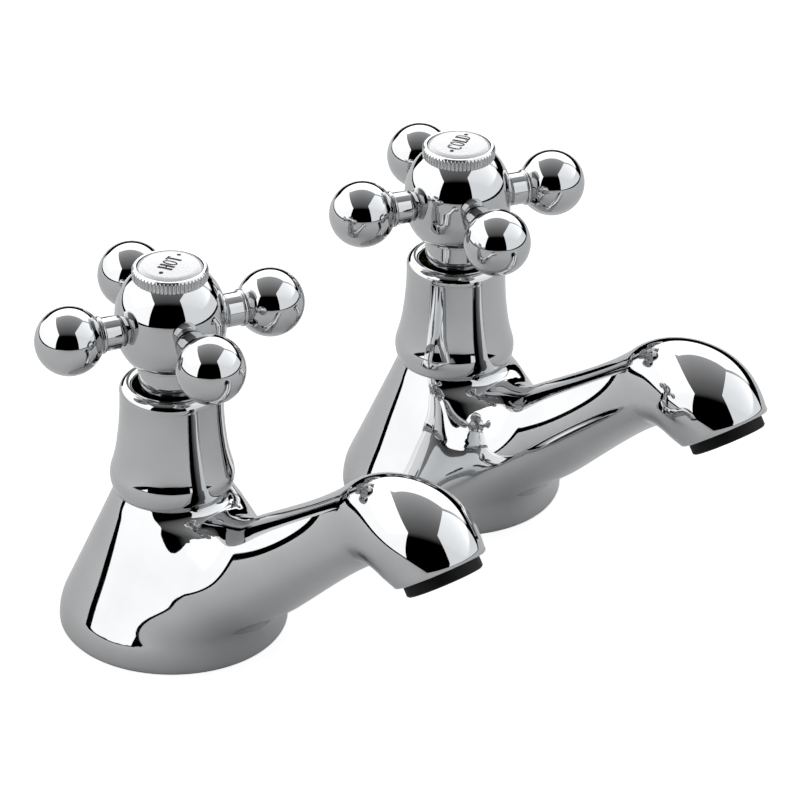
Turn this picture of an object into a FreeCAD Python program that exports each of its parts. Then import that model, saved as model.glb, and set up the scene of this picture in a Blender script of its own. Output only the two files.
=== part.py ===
import FreeCAD, Part
import math
import os
import Sketcher
from FreeCAD import Placement, Rotation, Vector

# A pair of pillar taps with cross handles, hot and cold, standing side by side on a deck.
# Millimetres, +Z up. The deck is the plane Z = 0 and the spouts point towards -Y.
# The origin lies on the deck, midway between the two upright axes. The valves are shut.

DRIVING_SIZES = (
    ("tap_spacing", 93.6, "between the two upright axes"),
    ("fit_gap", 0.05, "radial gap of a turning or screwed fit"),
    ("loose_gap", 0.3, "gap round a piece that only drops in"),
    ("overrun", 5.0, "how far a cutting tool passes the metal"),
    # body casting
    ("foot_radius", 26.9, "ring that meets the deck"),
    ("foot_belly_radius", 27.4, "widest place of the foot"),
    ("foot_belly_height", 1.2, "widest place of the foot"),
    ("foot_height", 7.0, "top of the rounded foot"),
    ("cone_foot_radius", 26.2, "foot of the straight flare"),
    ("shoulder_radius", 13.6, "top of the flare, below the shroud"),
    ("shoulder_height", 36.5, "top of the flare above the deck"),
    ("neck_radius", 12.2, "collar inside the shroud"),
    ("neck_length", 7.5, "collar above the shoulder"),
    ("tail_radius", 13.22, "free end of the threaded tail, three-quarter inch pipe"),
    ("shank_radius", 13.4, "upper run of the tail, where the back nut sits"),
    ("shank_spare", 0.6, "upper run of the tail below the back nut"),
    ("tail_length", 45.0, "tail below the deck"),
    ("tail_chamfer", 1.2, "lead at the end of the tail"),
    ("inlet_radius", 8.5, "bore of the tail"),
    ("inlet_bore_top", -1.0, "upper end of the drilled bore"),
    ("inlet_cast_radius", 8.2, "cast way above the bore"),
    ("seat_cone", 2.5, "height in which the inlet narrows"),
    ("seat_bore_radius", 6.25, "hole in the valve seat"),
    ("seat_throat", 3.0, "length of the seat bore"),
    ("seat_rise", 1.0, "rim that the rubber washer closes, above the floor round it"),
    ("seat_radius", 8.0, "outside of the seat rim"),
    ("chamber_depth", 29.5, "top of the collar to the floor round the seat"),
    ("chamber_radius", 10.5, "valve chamber and headwork thread"),
    ("recess_inner", 15.0, "ring recess under the foot"),
    ("recess_outer", 23.5, "ring recess under the foot"),
    ("recess_depth", 3.0, "ring recess under the foot"),
    # spout
    ("spine_rise", 7.5, "floor of the chamber to the spout's centre line on the axis"),
    ("root_reach", 24.0, "corner where the line turns upwards"),
    ("root_sag", 0.9, "how far the line has sunk where it turns upwards"),
    ("root_run", 14.0, "tangent length of the bend at the root"),
    ("outlet_reach", 90.1, "axis to the centre of the outlet face"),
    ("outlet_height", 52.9, "deck to the centre of the outlet face"),
    ("outlet_tilt", 35.4, "degrees between the outlet and straight down"),
    ("nose_run", 16.6, "tangent length of the bend at the nose"),
    ("spout_radius", 9.4, "outside of the spout at its waist"),
    ("waterway_radius", 6.2, "bore of the spout"),
    ("root_blend", 12.0, "fillet between spout and flare"),
    ("lip_round", 1.0, "fillet round the outlet face"),
    # outlet nozzle
    ("nozzle_radius", 9.2, "ring that shows below the outlet"),
    ("nozzle_height", 2.8, "ring that shows below the outlet"),
    ("nozzle_plug_radius", 8.2, "part pushed into the spout"),
    ("nozzle_plug_length", 5.0, "part pushed into the spout"),
    ("nozzle_bore", 7.0, "way through the nozzle"),
    ("nozzle_edge", 0.4, "chamfer of the visible ring"),
    # fixing below the deck
    ("gasket_shy", 0.1, "gasket face above the deck plane"),
    ("deck_thickness", 8.0, "bath rim that the nut clamps"),
    ("deck_washer_radius", 21.0, "fibre washer under the rim"),
    ("deck_washer_thickness", 2.0, "fibre washer under the rim"),
    ("back_nut_flats", 36.0, "across flats"),
    ("back_nut_height", 8.0, "height with its flange"),
    ("back_nut_flange_radius", 19.5, "round flange of the back nut"),
    ("back_nut_flange_height", 2.0, "round flange of the back nut"),
    # shroud
    ("shroud_wall", 0.9, "wall of the shroud"),
    ("shroud_foot_radius", 13.9, "lower edge"),
    ("shroud_waist_radius", 14.45, "where the belly meets the waist"),
    ("shroud_belly_height", 5.5, "belly above the lower edge"),
    ("shroud_rim_radius", 12.2, "below the rolled rim"),
    ("shroud_height", 25.0, "lower edge to the rolled rim"),
    ("shroud_rim_rise", 2.8, "rolled rim up to its crest"),
    ("shroud_crest_radius", 10.6, "crest of the rim"),
    ("shroud_hole_radius", 9.0, "hole that the handle passes"),
    ("shroud_rim_drop", 1.1, "crest down to the edge of the hole"),
    # headwork
    ("fibre_thickness", 0.8, "sealing washer under the hexagon"),
    ("headwork_thread", 9.8, "headwork below the top of the collar"),
    ("headwork_flats", 21.2, "hexagon across flats"),
    ("headwork_corner_radius", 11.6, "corners of the hexagon turned off"),
    ("headwork_hex_height", 6.2, "height of the hexagon"),
    ("hex_chamfer", 0.9, "crown of a hexagon's corners"),
    ("gland_radius", 7.0, "round neck above the hexagon"),
    ("gland_length", 9.0, "gland above the hexagon"),
    ("gland_slope", 2.5, "cone between hexagon and gland"),
    ("guide_flats", 11.4, "hexagon bore that stops the carrier turning"),
    ("guide_depth", 14.0, "length of the hexagon bore"),
    ("thrust_depth", 2.0, "shoulder above the hexagon bore"),
    ("thrust_radius", 5.45, "spindle flange and thrust washer"),
    ("thrust_washer_thickness", 0.6, "nylon washer"),
    # spindle
    ("spindle_radius", 4.5, "journal in the gland"),
    ("spindle_thread_radius", 3.9, "screw in the carrier"),
    ("screw_length", 13.3, "screw of the spindle"),
    ("ring_section", 0.7, "radius of an O-ring's section"),
    ("lower_ring_rise", 3.3, "thrust shoulder to the lower O-ring"),
    ("ring_pitch", 3.5, "between the two O-rings"),
    ("ring_groove_width", 1.8, "groove of an O-ring"),
    ("clip_gap", 0.4, "gland to circlip"),
    ("clip_thickness", 0.8, "circlip"),
    ("clip_outer_radius", 6.2, "circlip"),
    ("clip_groove_radius", 3.6, "groove of the circlip"),
    ("clip_mouth", 3.0, "opening of the circlip"),
    ("spline_gap", 1.3, "circlip to the lower end of the splines"),
    ("spline_radius", 4.0, "tips of the splines"),
    ("spline_root_radius", 3.6, "roots of the splines"),
    ("spline_length", 13.5, "splined end of the spindle"),
    # valve carrier
    ("carrier_room", 7.2, "way above the carrier with the valve shut"),
    ("guide_play", 0.12, "each side of the sliding hexagon"),
    ("carrier_plate_radius", 8.4, "plate that backs the rubber washer"),
    ("carrier_plate_thickness", 1.8, "plate that backs the rubber washer"),
    ("carrier_bore_spare", 6.3, "threaded bore below the screw with the valve shut"),
    ("rubber_radius", 7.7, "rubber tap washer"),
    ("rubber_thickness", 3.9, "rubber tap washer"),
    ("carrier_pin_radius", 1.9, "pin through the rubber washer"),
    ("washer_nut_flats", 6.0, "small nut below the washer"),
    ("washer_nut_height", 2.2, "small nut below the washer"),
    # handle
    ("hot_handle_angle", -20.0, "degrees from +X to the first arm"),
    ("cold_handle_angle", -22.4, "degrees from +X to the first arm"),
    ("hub_radius", 13.05, "ball-shaped hub"),
    ("hub_band_low", 0.8, "hub's widest band below the arms' plane"),
    ("hub_band_high", 1.9, "hub's widest band above the arms' plane"),
    ("hub_fall", 7.6, "widest band down to the underside of the ball"),
    ("hub_bottom_radius", 10.6, "underside of the ball"),
    ("hub_rise", 9.8, "widest band up to the seat of the bezel"),
    ("hub_top_radius", 8.7, "seat of the bezel"),
    ("lip_radius", 9.9, "thin flange under the ball"),
    ("lip_height", 0.9, "thin flange under the ball"),
    ("skirt_radius", 7.7, "round neck that enters the shroud"),
    ("skirt_gap", 0.8, "circlip to the lower end of the neck"),
    ("skirt_bore", 5.2, "clears the spindle below the splines"),
    ("spline_bore_rise", 2.5, "lower end of the splines to that of their bore"),
    ("hub_floor_gap", 1.5, "top of the spindle to the floor of the hub's well"),
    ("well_radius", 6.6, "well that takes screw and bezel"),
    ("arm_rise", 4.0, "top of the spindle to the plane of the four arms"),
    ("ball_centre", 25.0, "axis to the centre of a ball"),
    ("ball_radius", 8.13, "ball at the end of an arm"),
    ("arm_radius", 4.0, "arm between hub and ball"),
    ("arm_start", 13.4, "where the full arm starts"),
    ("bead_radius", 3.2, "bead between hub and arm"),
    ("spot_face", 12.5, "flat on the hub under a bead"),
    ("collar_radius", 4.6, "collar against the ball"),
    ("collar_width", 0.9, "collar against the ball"),
    ("stud_radius", 2.0, "threaded stud of an arm"),
    ("stud_start", 7.4, "inner end of a stud"),
    ("screw_radius", 1.9, "shank of the handle screw"),
    ("screw_hole_depth", 10.5, "tapped hole in the spindle"),
    ("screw_hole_spare", 1.5, "tapped hole below the screw"),
    ("screw_head_radius", 3.7, "pan head"),
    ("screw_head_height", 2.4, "pan head"),
    ("screw_slot_width", 1.0, "slot in the head"),
    ("screw_slot_depth", 1.2, "slot in the head"),
    # bezel and disc
    ("bezel_radius", 8.9, "tips of the knurl"),
    ("knurl_depth", 0.35, "depth of the knurl"),
    ("knurl_height", 2.2, "height of the knurl"),
    ("bezel_rim_height", 0.6, "knurl to the top of the bezel"),
    ("bezel_rim_radius", 8.4, "top edge of the bezel"),
    ("bezel_skirt_radius", 6.5, "threaded skirt in the hub's well"),
    ("bezel_skirt_bore", 5.4, "inside of the skirt"),
    ("bezel_skirt_length", 5.7, "threaded skirt in the hub's well"),
    ("disc_radius", 7.7, "ceramic disc"),
    ("disc_gap", 0.15, "dark line round the disc"),
    ("disc_seat", 0.9, "seat of the bezel to the underside of the disc"),
    ("disc_edge", 1.5, "edge of the disc"),
    ("disc_shoulder_radius", 6.3, "rounded shoulder of the disc's face"),
    ("disc_shoulder_rise", 0.9, "rounded shoulder of the disc's face"),
    ("disc_crown", 0.35, "rise of the disc's face"),
)

FIRST_ROW = 1
HALF = 0.5
QUARTER = 0.25
DOUBLE = 2.0
DOUBLE_STEPS = 2
HEX_SIDES = 6
CLOSENESS = 0.001
EDGE_SAMPLE_SHARES = (0.17, 0.33, 0.5, 0.67, 0.83)
UPWARDS = Vector(0, 0, 1)
SIDEWAYS = Vector(1, 0, 0)
FULL_TURN = 360.0
FULL_TURN_RADIANS = 2.0 * math.pi
HEX_CORNER_SHARE = 1.0 / math.sqrt(3.0)
ARM_COUNT = 4
SPLINE_COUNT = 20
KNURL_COUNT = 56

# Where the spout's sections lie along its centre line, and their radii over the waist's radius.
SPOUT_STATION_SHARES = (0.0, 0.10, 0.20, 0.30, 0.40, 0.50, 0.60, 0.70, 0.80, 0.87, 0.94, 1.0)
SPOUT_RADIUS_SHARES = (1.45, 1.39, 1.36, 1.30, 1.21, 1.105, 1.02, 1.00, 1.11, 1.25, 1.28, 1.16)

# Arcs of outlines: radius over chord.
BELLY_ARC_SHARE = 1.545
HEAD_ARC_SHARE = 0.72
RIM_ARC_SHARE = 0.72
CREST_ARC_SHARE = 0.75
BEAD_ARC_SHARE = 0.6
SHOULDER_ARC_SHARE = 1.02

document = FreeCAD.newDocument("PillarTaps")
sheet = document.addObject("Spreadsheet::Sheet", "Sizes")
for row, (alias, value, meaning) in enumerate(DRIVING_SIZES, start=FIRST_ROW):
    sheet.set("A%d" % row, alias)
    sheet.set("B%d" % row, str(value))
    sheet.set("C%d" % row, meaning)
    sheet.setAlias("B%d" % row, alias)
document.recompute()


class Size:
    """A length with the expression that binds it to the sheet."""

    def __init__(self, value, text):
        self.value = float(value)
        self.text = text

    def joined(self, other, sign, value):
        return Size(value, "(%s %s %s)" % (self.text, sign, other.text))

    def __add__(self, other):
        other = as_size(other)
        return self.joined(other, "+", self.value + other.value)

    def __radd__(self, other):
        return as_size(other) + self

    def __sub__(self, other):
        other = as_size(other)
        return self.joined(other, "-", self.value - other.value)

    def __rsub__(self, other):
        return as_size(other) - self

    def __mul__(self, other):
        other = as_size(other)
        return self.joined(other, "*", self.value * other.value)

    def __rmul__(self, other):
        return as_size(other) * self

    def __truediv__(self, other):
        other = as_size(other)
        return self.joined(other, "/", self.value / other.value)

    def __neg__(self):
        return Size(-self.value, "(0 - %s)" % self.text)


def as_size(number):
    return number if isinstance(number, Size) else Size(number, repr(float(number)))


def root(size):
    return Size(math.sqrt(size.value), "sqrt(%s)" % size.text)


def chord(start, end):
    across = end[0] - start[0]
    up = end[1] - start[1]
    return root(across * across + up * up)


def upright_arc(widest, narrow, rise):
    """Radius of an arc that is upright at the widest place and reaches the narrow one."""
    step = widest - narrow
    return (step * step + rise * rise) / (DOUBLE * step)


class Sheet:
    """Reads a driving size by its name."""

    def __getattr__(self, alias):
        return Size(getattr(sheet, alias), "Sizes.%s" % alias)


S = Sheet()

# Heights above the deck, each worked out from what carries it.
NECK_TOP = S.shoulder_height + S.neck_length
CHAMBER_FLOOR = NECK_TOP - S.chamber_depth
SEAT_TOP = CHAMBER_FLOOR + S.seat_rise
INLET_TOP = SEAT_TOP - S.seat_throat - S.seat_cone
SPINE_START = CHAMBER_FLOOR + S.spine_rise
ROOT_HEIGHT = SPINE_START - S.root_sag
HEADWORK_BOTTOM = NECK_TOP - S.headwork_thread
HEXAGON_BOTTOM = NECK_TOP + S.fibre_thickness
HEXAGON_TOP = HEXAGON_BOTTOM + S.headwork_hex_height
GLAND_TOP = HEXAGON_TOP + S.gland_length
GUIDE_TOP = HEADWORK_BOTTOM + S.guide_depth
THRUST_FACE = GUIDE_TOP + S.thrust_depth
LOWER_RING_HEIGHT = THRUST_FACE + S.lower_ring_rise
UPPER_RING_HEIGHT = LOWER_RING_HEIGHT + S.ring_pitch
SPINDLE_BOTTOM = GUIDE_TOP - S.screw_length
CARRIER_TOP = GUIDE_TOP - S.carrier_room
CARRIER_BORE_BOTTOM = SPINDLE_BOTTOM - S.carrier_bore_spare
CLIP_HEIGHT = GLAND_TOP + S.clip_gap
CLIP_TOP = CLIP_HEIGHT + S.clip_thickness
SKIRT_BOTTOM = CLIP_TOP + S.skirt_gap
SPLINE_BOTTOM = CLIP_TOP + S.spline_gap
SPINDLE_TOP = SPLINE_BOTTOM + S.spline_length
SPLINE_BORE_BOTTOM = SPLINE_BOTTOM + S.spline_bore_rise
SCREW_HOLE_BOTTOM = SPINDLE_TOP - S.screw_hole_depth
SCREW_BOTTOM = SCREW_HOLE_BOTTOM + S.screw_hole_spare
HUB_FLOOR = SPINDLE_TOP + S.hub_floor_gap
ARM_HEIGHT = SPINDLE_TOP + S.arm_rise
HUB_LOW = ARM_HEIGHT - S.hub_band_low
HUB_BOTTOM = HUB_LOW - S.hub_fall
LIP_BOTTOM = HUB_BOTTOM - S.lip_height
HUB_HIGH = ARM_HEIGHT + S.hub_band_high
HUB_TOP = HUB_HIGH + S.hub_rise
BEZEL_SKIRT_BOTTOM = HUB_TOP - S.bezel_skirt_length
KNURL_TOP = HUB_TOP + S.knurl_height
BEZEL_TOP = KNURL_TOP + S.bezel_rim_height
DISC_BOTTOM = HUB_TOP + S.disc_seat
DISC_EDGE_HEIGHT = DISC_BOTTOM + S.disc_edge
SHROUD_RIM = S.shoulder_height + S.shroud_height
SHROUD_TOP = SHROUD_RIM + S.shroud_rim_rise
SHROUD_HOLE = SHROUD_TOP - S.shroud_rim_drop


def bind(thing, name, size):
    thing.setExpression(name, as_size(size).text)


def place(thing, x=0.0, y=0.0, z=0.0):
    bind(thing, "Placement.Base.x", x)
    bind(thing, "Placement.Base.y", y)
    bind(thing, "Placement.Base.z", z)


def turn_about(thing, axis, angle):
    thing.Placement = Placement(thing.Placement.Base, Rotation(axis, angle.value))
    bind(thing, "Placement.Rotation.Angle", angle)


def origin_plane(body, role):
    return [plane for plane in body.Origin.OriginFeatures if plane.Role == role][0]


def arc_between(start, end, radius, side):
    """An arc that bulges to the left of the way from start to end if side is 1, else to the right."""
    way = end - start
    left = Vector(-way.y, way.x, 0).normalize()
    rise = math.sqrt(max(radius * radius - way.Length * way.Length * QUARTER, 0.0))
    centre = (start + end) * HALF - left * side * rise
    first, last = (end, start) if side > 0 else (start, end)
    angles = [math.atan2(place.y - centre.y, place.x - centre.x) for place in (first, last)]
    if angles[1] < angles[0]:
        angles[1] += FULL_TURN_RADIANS
    circle = Part.Circle(centre, UPWARDS, radius)
    return Part.ArcOfCircle(circle, angles[0], angles[1])


def draw_outline(sketch, points):
    """Draws a closed outline through points (across, up).

    A third value makes an arc to the next point: its radius, or its radius over its chord.
    The arc bulges to the left of the way if the value is above zero, else to the right.
    """
    corners = [(as_size(point[0]), as_size(point[1])) for point in points]
    places = [Vector(across.value, up.value, 0) for across, up in corners]
    bounds = []
    for index, point in enumerate(points):
        after = (index + 1) % len(points)
        bend = point[2] if len(point) > 2 else None
        if bend is not None:
            side = 1 if as_size(bend).value > 0 else -1
            across_chord = chord(corners[index], corners[after])
            radius = bend * side if isinstance(bend, Size) else across_chord * abs(bend)
            arc = arc_between(places[index], places[after], radius.value, side)
            edge = sketch.addGeometry(arc)
            bounds.append((edge, 2, 1) if side > 0 else (edge, 1, 2))
            held = sketch.addConstraint(Sketcher.Constraint("Radius", edge, radius.value))
            bind(sketch, "Constraints[%d]" % held, radius)
        else:
            edge = sketch.addGeometry(Part.LineSegment(places[index], places[after]))
            bounds.append((edge, 1, 2))
    for index, (across, up) in enumerate(corners):
        edge, first, last = bounds[index]
        before, before_first, before_last = bounds[index - 1]
        sketch.addConstraint(Sketcher.Constraint("Coincident", before, before_last, edge, first))
        for kind, axis, size in (("DistanceX", -2, across), ("DistanceY", -1, up)):
            if abs(size.value) < CLOSENESS:
                sketch.addConstraint(Sketcher.Constraint("PointOnObject", edge, first, axis))
            else:
                held = sketch.addConstraint(Sketcher.Constraint(kind, -1, 1, edge, first, size.value))
                bind(sketch, "Constraints[%d]" % held, size)


def outline_in(body, label, points, lift=None):
    sketch = body.newObject("Sketcher::SketchObject", label)
    sketch.AttachmentSupport = [(origin_plane(body, "XZ_Plane"), "")]
    sketch.MapMode = "FlatFace"
    if lift is not None:
        bind(sketch, "AttachmentOffset.Base.y", lift)
    draw_outline(sketch, points)
    return sketch


def new_body(label, x):
    body = document.addObject("PartDesign::Body", label)
    body.Label = label
    bind(body, "Placement.Base.x", x)
    return body


def revolve_in(body, kind, sketch, axis):
    feature = body.newObject(kind, body.Label + "_" + kind.split("::")[1].lower())
    feature.Profile = sketch
    feature.ReferenceAxis = (sketch, [axis])
    feature.Angle = FULL_TURN
    sketch.Visibility = False
    return feature


def turned(label, x, points):
    """A piece turned about its upright axis: the outline is (radius, height above the deck)."""
    body = new_body(label, x)
    sketch = outline_in(body, label + "_outline", points)
    revolve_in(body, "PartDesign::Revolution", sketch, "V_Axis")
    return body


def repeat_round(body, feature, count):
    pattern = body.newObject("PartDesign::PolarPattern", body.Label + "_pattern")
    pattern.Originals = [feature]
    pattern.Axis = ([line for line in body.Origin.OriginFeatures if line.Role == "Z_Axis"][0], [""])
    pattern.Angle = FULL_TURN
    pattern.Occurrences = count
    body.Tip = pattern
    return pattern


def cylinder(label, x, radius, bottom, top, y=0.0):
    piece = document.addObject("Part::Cylinder", label)
    bind(piece, "Radius", radius)
    bind(piece, "Height", top - bottom)
    place(piece, x, y, bottom)
    return piece


def hexagon(label, x, flats, bottom, top):
    prism = document.addObject("Part::Prism", label)
    prism.Polygon = HEX_SIDES
    bind(prism, "Circumradius", flats * HEX_CORNER_SHARE)
    bind(prism, "Height", top - bottom)
    place(prism, x, 0.0, bottom)
    return prism


def cut(label, base, *tools):
    for index, tool in enumerate(tools, start=1):
        last = index == len(tools)
        result = document.addObject("Part::Cut", label if last else "%s_stage_%d" % (label, index))
        result.Base = base
        result.Tool = tool
        base = result
    result.Label = label
    return result


def fuse(label, *pieces):
    result = document.addObject("Part::MultiFuse", label)
    result.Shapes = list(pieces)
    result.Label = label
    return result


def common(label, first, second):
    result = document.addObject("Part::MultiCommon", label)
    result.Shapes = [first, second]
    result.Label = label
    return result


def group(label, pieces):
    result = document.addObject("Part::Compound", label)
    result.Links = list(pieces)
    result.Label = label
    return result


def toothed_prism(label, x, tip_radius, root_radius, count, bottom, top, angle):
    """A round bar with straight V-shaped teeth all round it."""
    steps = DOUBLE_STEPS * count
    points = []
    for step in range(steps + 1):
        radius = tip_radius.value if step % DOUBLE_STEPS == 0 else root_radius.value
        turn = math.radians(angle.value) + FULL_TURN_RADIANS * step / steps
        points.append(Vector(radius * math.cos(turn), radius * math.sin(turn), 0))
    face = Part.Face(Part.makePolygon(points))
    bar = document.addObject("Part::Feature", label)
    bar.Shape = face.extrude(Vector(0, 0, top.value - bottom.value))
    bar.Placement = Placement(Vector(x.value, 0, bottom.value), Rotation())
    return bar


class Spine:
    """The spout's centre line in the YZ plane: a run, a bend, a run and the bend of the nose."""

    def __init__(self):
        tilt = math.radians(S.outlet_tilt.value)
        self.down = Vector(0, -math.sin(tilt), -math.cos(tilt))
        self.outlet = Vector(0, -S.outlet_reach.value, S.outlet_height.value)
        start = Vector(0, 0, SPINE_START.value)
        root_corner = Vector(0, -S.root_reach.value, ROOT_HEIGHT.value)
        nose_corner = self.outlet - self.down * S.nose_run.value
        corners = [start, root_corner, nose_corner, self.outlet]
        runs = [(after - before) for before, after in zip(corners, corners[1:])]
        ways = [Vector(run).normalize() for run in runs]
        root_in = root_corner - ways[0] * S.root_run.value
        root_out = root_corner + ways[1] * S.root_run.value
        nose_in = nose_corner - ways[1] * S.nose_run.value
        root_middle = self.bend_middle(root_corner, ways[0], ways[1], S.root_run.value)
        nose_middle = self.bend_middle(nose_corner, ways[1], ways[2], S.nose_run.value)
        edges = [
            Part.LineSegment(start, root_in).toShape(),
            Part.Arc(root_in, root_middle, root_out).toShape(),
            Part.LineSegment(root_out, nose_in).toShape(),
            Part.Arc(nose_in, nose_middle, self.outlet).toShape(),
        ]
        self.wire = Part.Wire(edges)
        self.edges = edges

    def bend_middle(self, corner, way_in, way_out, run):
        half_turn = way_in.getAngle(way_out) * HALF
        radius = run / math.tan(half_turn)
        inward = Vector(way_out - way_in).normalize()
        return corner + inward * (radius / math.cos(half_turn) - radius)

    def at(self, share):
        distance = share * self.wire.Length
        for edge in self.edges:
            if distance <= edge.Length or edge is self.edges[-1]:
                parameter = edge.getParameterByLength(min(distance, edge.Length))
                return edge.valueAt(parameter), edge.tangentAt(parameter)
            distance -= edge.Length


def lofted_tube(label, x, spine, station_shares, radii):
    """A solid loft through round sections square to the spine."""
    sections = []
    for share, radius in zip(station_shares, radii):
        centre, way = spine.at(share)
        sections.append(Part.Wire([Part.makeCircle(radius, centre, way)]))
    tube = document.addObject("Part::Feature", label)
    tube.Shape = Part.makeLoft(sections, True, False)
    tube.Placement = Placement(Vector(x.value, 0, 0), Rotation())
    return tube


def samples_on(edge):
    span = edge.LastParameter - edge.FirstParameter
    return [edge.valueAt(edge.FirstParameter + span * share) for share in EDGE_SAMPLE_SHARES]


def lies_on(edge, shape):
    skin = Part.makeCompound(shape.Faces)
    return all(Part.Vertex(point).distToShape(skin)[0] < CLOSENESS for point in samples_on(edge))


def rounded_casting(label, fused, flare, spout, spine, x):
    """Blends the spout into the flare and rounds the outlet's lip."""
    document.recompute()
    outlet = spine.outlet + Vector(x.value, 0, 0)
    edges = []
    for index, edge in enumerate(fused.Shape.Edges, start=1):
        at_lip = all(abs((point - outlet).dot(spine.down)) < CLOSENESS for point in samples_on(edge))
        if at_lip:
            size = S.lip_round.value
        elif lies_on(edge, flare.Shape) and lies_on(edge, spout.Shape):
            size = S.root_blend.value
        else:
            continue
        edges.append((index, size, size))
    rounded = document.addObject("Part::Fillet", label)
    rounded.Base = fused
    rounded.Edges = edges
    return rounded


def body_casting(name, x):
    """The cast body: flared foot, collar, threaded tail and spout, with its waterways."""
    spine = Spine()
    tail_end = -S.tail_length
    shank_end = -S.deck_thickness - S.deck_washer_thickness - S.back_nut_height - S.shank_spare
    lower_arc = upright_arc(S.foot_belly_radius, S.foot_radius, S.foot_belly_height)
    upper_arc = upright_arc(S.foot_belly_radius, S.cone_foot_radius, S.foot_height - S.foot_belly_height)
    flare = turned(name + "_flare", x, (
        (0.0, tail_end),
        (S.tail_radius - S.tail_chamfer, tail_end),
        (S.tail_radius, tail_end + S.tail_chamfer),
        (S.tail_radius, shank_end),
        (S.shank_radius, shank_end),
        (S.shank_radius, 0.0),
        (S.foot_radius, 0.0, -lower_arc),
        (S.foot_belly_radius, S.foot_belly_height, -upper_arc),
        (S.cone_foot_radius, S.foot_height),
        (S.shoulder_radius, S.shoulder_height),
        (S.neck_radius, S.shoulder_height),
        (S.neck_radius, NECK_TOP),
        (0.0, NECK_TOP),
    ))
    radii = [S.spout_radius.value * share for share in SPOUT_RADIUS_SHARES]
    spout = lofted_tube(name + "_spout", x, spine, SPOUT_STATION_SHARES, radii)
    fused = fuse(name + "_fused", flare, spout)
    rounded = rounded_casting(name + "_rounded", fused, flare, spout, spine, x)
    chamber = turned(name + "_chamber", x, (
        (0.0, tail_end - S.overrun),
        (S.inlet_radius, tail_end - S.overrun),
        (S.inlet_radius, S.inlet_bore_top),
        (S.inlet_cast_radius, S.inlet_bore_top),
        (S.inlet_cast_radius, INLET_TOP),
        (S.seat_bore_radius, SEAT_TOP - S.seat_throat),
        (S.seat_bore_radius, SEAT_TOP),
        (S.seat_radius, SEAT_TOP),
        (S.seat_radius, CHAMBER_FLOOR),
        (S.chamber_radius, CHAMBER_FLOOR),
        (S.chamber_radius, NECK_TOP + S.overrun),
        (0.0, NECK_TOP + S.overrun),
    ))
    recess = turned(name + "_recess", x, (
        (S.recess_inner, -S.overrun),
        (S.recess_outer, -S.overrun),
        (S.recess_outer, S.recess_depth),
        (S.recess_inner, S.recess_depth),
    ))
    start_share = S.seat_radius.value / spine.wire.Length
    waterway_shares = [start_share] + [share for share in SPOUT_STATION_SHARES if share > start_share]
    waterway_radii = [S.waterway_radius.value] * len(waterway_shares)
    waterway = lofted_tube(name + "_waterway", x, spine, waterway_shares, waterway_radii)
    socket = cylinder(name + "_socket", x, S.nozzle_plug_radius + S.fit_gap, -S.overrun,
                      S.nozzle_plug_length + S.fit_gap)
    stand_at_outlet(socket, x, -S.overrun)
    return cut(name + "_body", rounded, chamber, recess, waterway, socket)


def stand_at_outlet(piece, x, depth):
    """Stands a piece on the outlet face, with its own +Z pointing into the spout."""
    turn_about(piece, SIDEWAYS, -S.outlet_tilt)
    tilt = S.outlet_tilt.text
    back = Size(math.sin(math.radians(S.outlet_tilt.value)), "sin(%s * 1deg)" % tilt)
    up = Size(math.cos(math.radians(S.outlet_tilt.value)), "cos(%s * 1deg)" % tilt)
    place(piece, x, depth * back - S.outlet_reach, depth * up + S.outlet_height)


def outlet_nozzle(name, x):
    """Black ring pushed into the spout's end."""
    nozzle = turned(name + "_outlet_nozzle", x, (
        (S.nozzle_bore, -S.nozzle_height),
        (S.nozzle_radius - S.nozzle_edge, -S.nozzle_height),
        (S.nozzle_radius, S.nozzle_edge - S.nozzle_height),
        (S.nozzle_radius, 0.0),
        (S.nozzle_plug_radius, 0.0),
        (S.nozzle_plug_radius, S.nozzle_plug_length),
        (S.nozzle_bore, S.nozzle_plug_length),
    ))
    stand_at_outlet(nozzle, x, Size(0.0, "0.0"))
    return nozzle


def base_gasket(name, x):
    return turned(name + "_base_gasket", x, (
        (S.recess_inner + S.loose_gap, S.gasket_shy),
        (S.recess_outer - S.loose_gap, S.gasket_shy),
        (S.recess_outer - S.loose_gap, S.recess_depth),
        (S.recess_inner + S.loose_gap, S.recess_depth),
    ))


def deck_washer(name, x):
    top = -S.deck_thickness
    bottom = top - S.deck_washer_thickness
    return turned(name + "_deck_washer", x, (
        (S.shank_radius + S.loose_gap, bottom),
        (S.deck_washer_radius, bottom),
        (S.deck_washer_radius, top),
        (S.shank_radius + S.loose_gap, top),
    ))


def crowned_hexagon(label, x, flats, corner, bottom, top, crown_bottom, crown_top):
    """A hexagon whose corners are turned off to a radius and crowned at the wanted ends."""
    lower = corner - S.hex_chamfer if crown_bottom else corner
    upper = corner - S.hex_chamfer if crown_top else corner
    drop = S.hex_chamfer * HEX_CORNER_SHARE
    outline = [(0.0, bottom), (lower, bottom)]
    if crown_bottom:
        outline.append((corner, bottom + drop))
    if crown_top:
        outline.append((corner, top - drop))
    outline.append((upper, top))
    outline.append((0.0, top))
    blank = turned(label + "_blank", x, outline)
    prism = hexagon(label + "_prism", x, flats, bottom, top)
    return common(label, blank, prism)


def back_nut(name, x):
    """Flanged nut that pulls the tap down on the deck."""
    top = -S.deck_thickness - S.deck_washer_thickness
    bottom = top - S.back_nut_height
    flange = cylinder(name + "_nut_flange", x, S.back_nut_flange_radius, top - S.back_nut_flange_height, top)
    body = crowned_hexagon(name + "_nut_hexagon", x, S.back_nut_flats, S.back_nut_flats * HEX_CORNER_SHARE,
                           bottom, top, True, False)
    bore = cylinder(name + "_nut_bore", x, S.shank_radius + S.fit_gap, bottom - S.overrun, top + S.overrun)
    return cut(name + "_back_nut", fuse(name + "_nut_blank", flange, body), bore)


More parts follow.
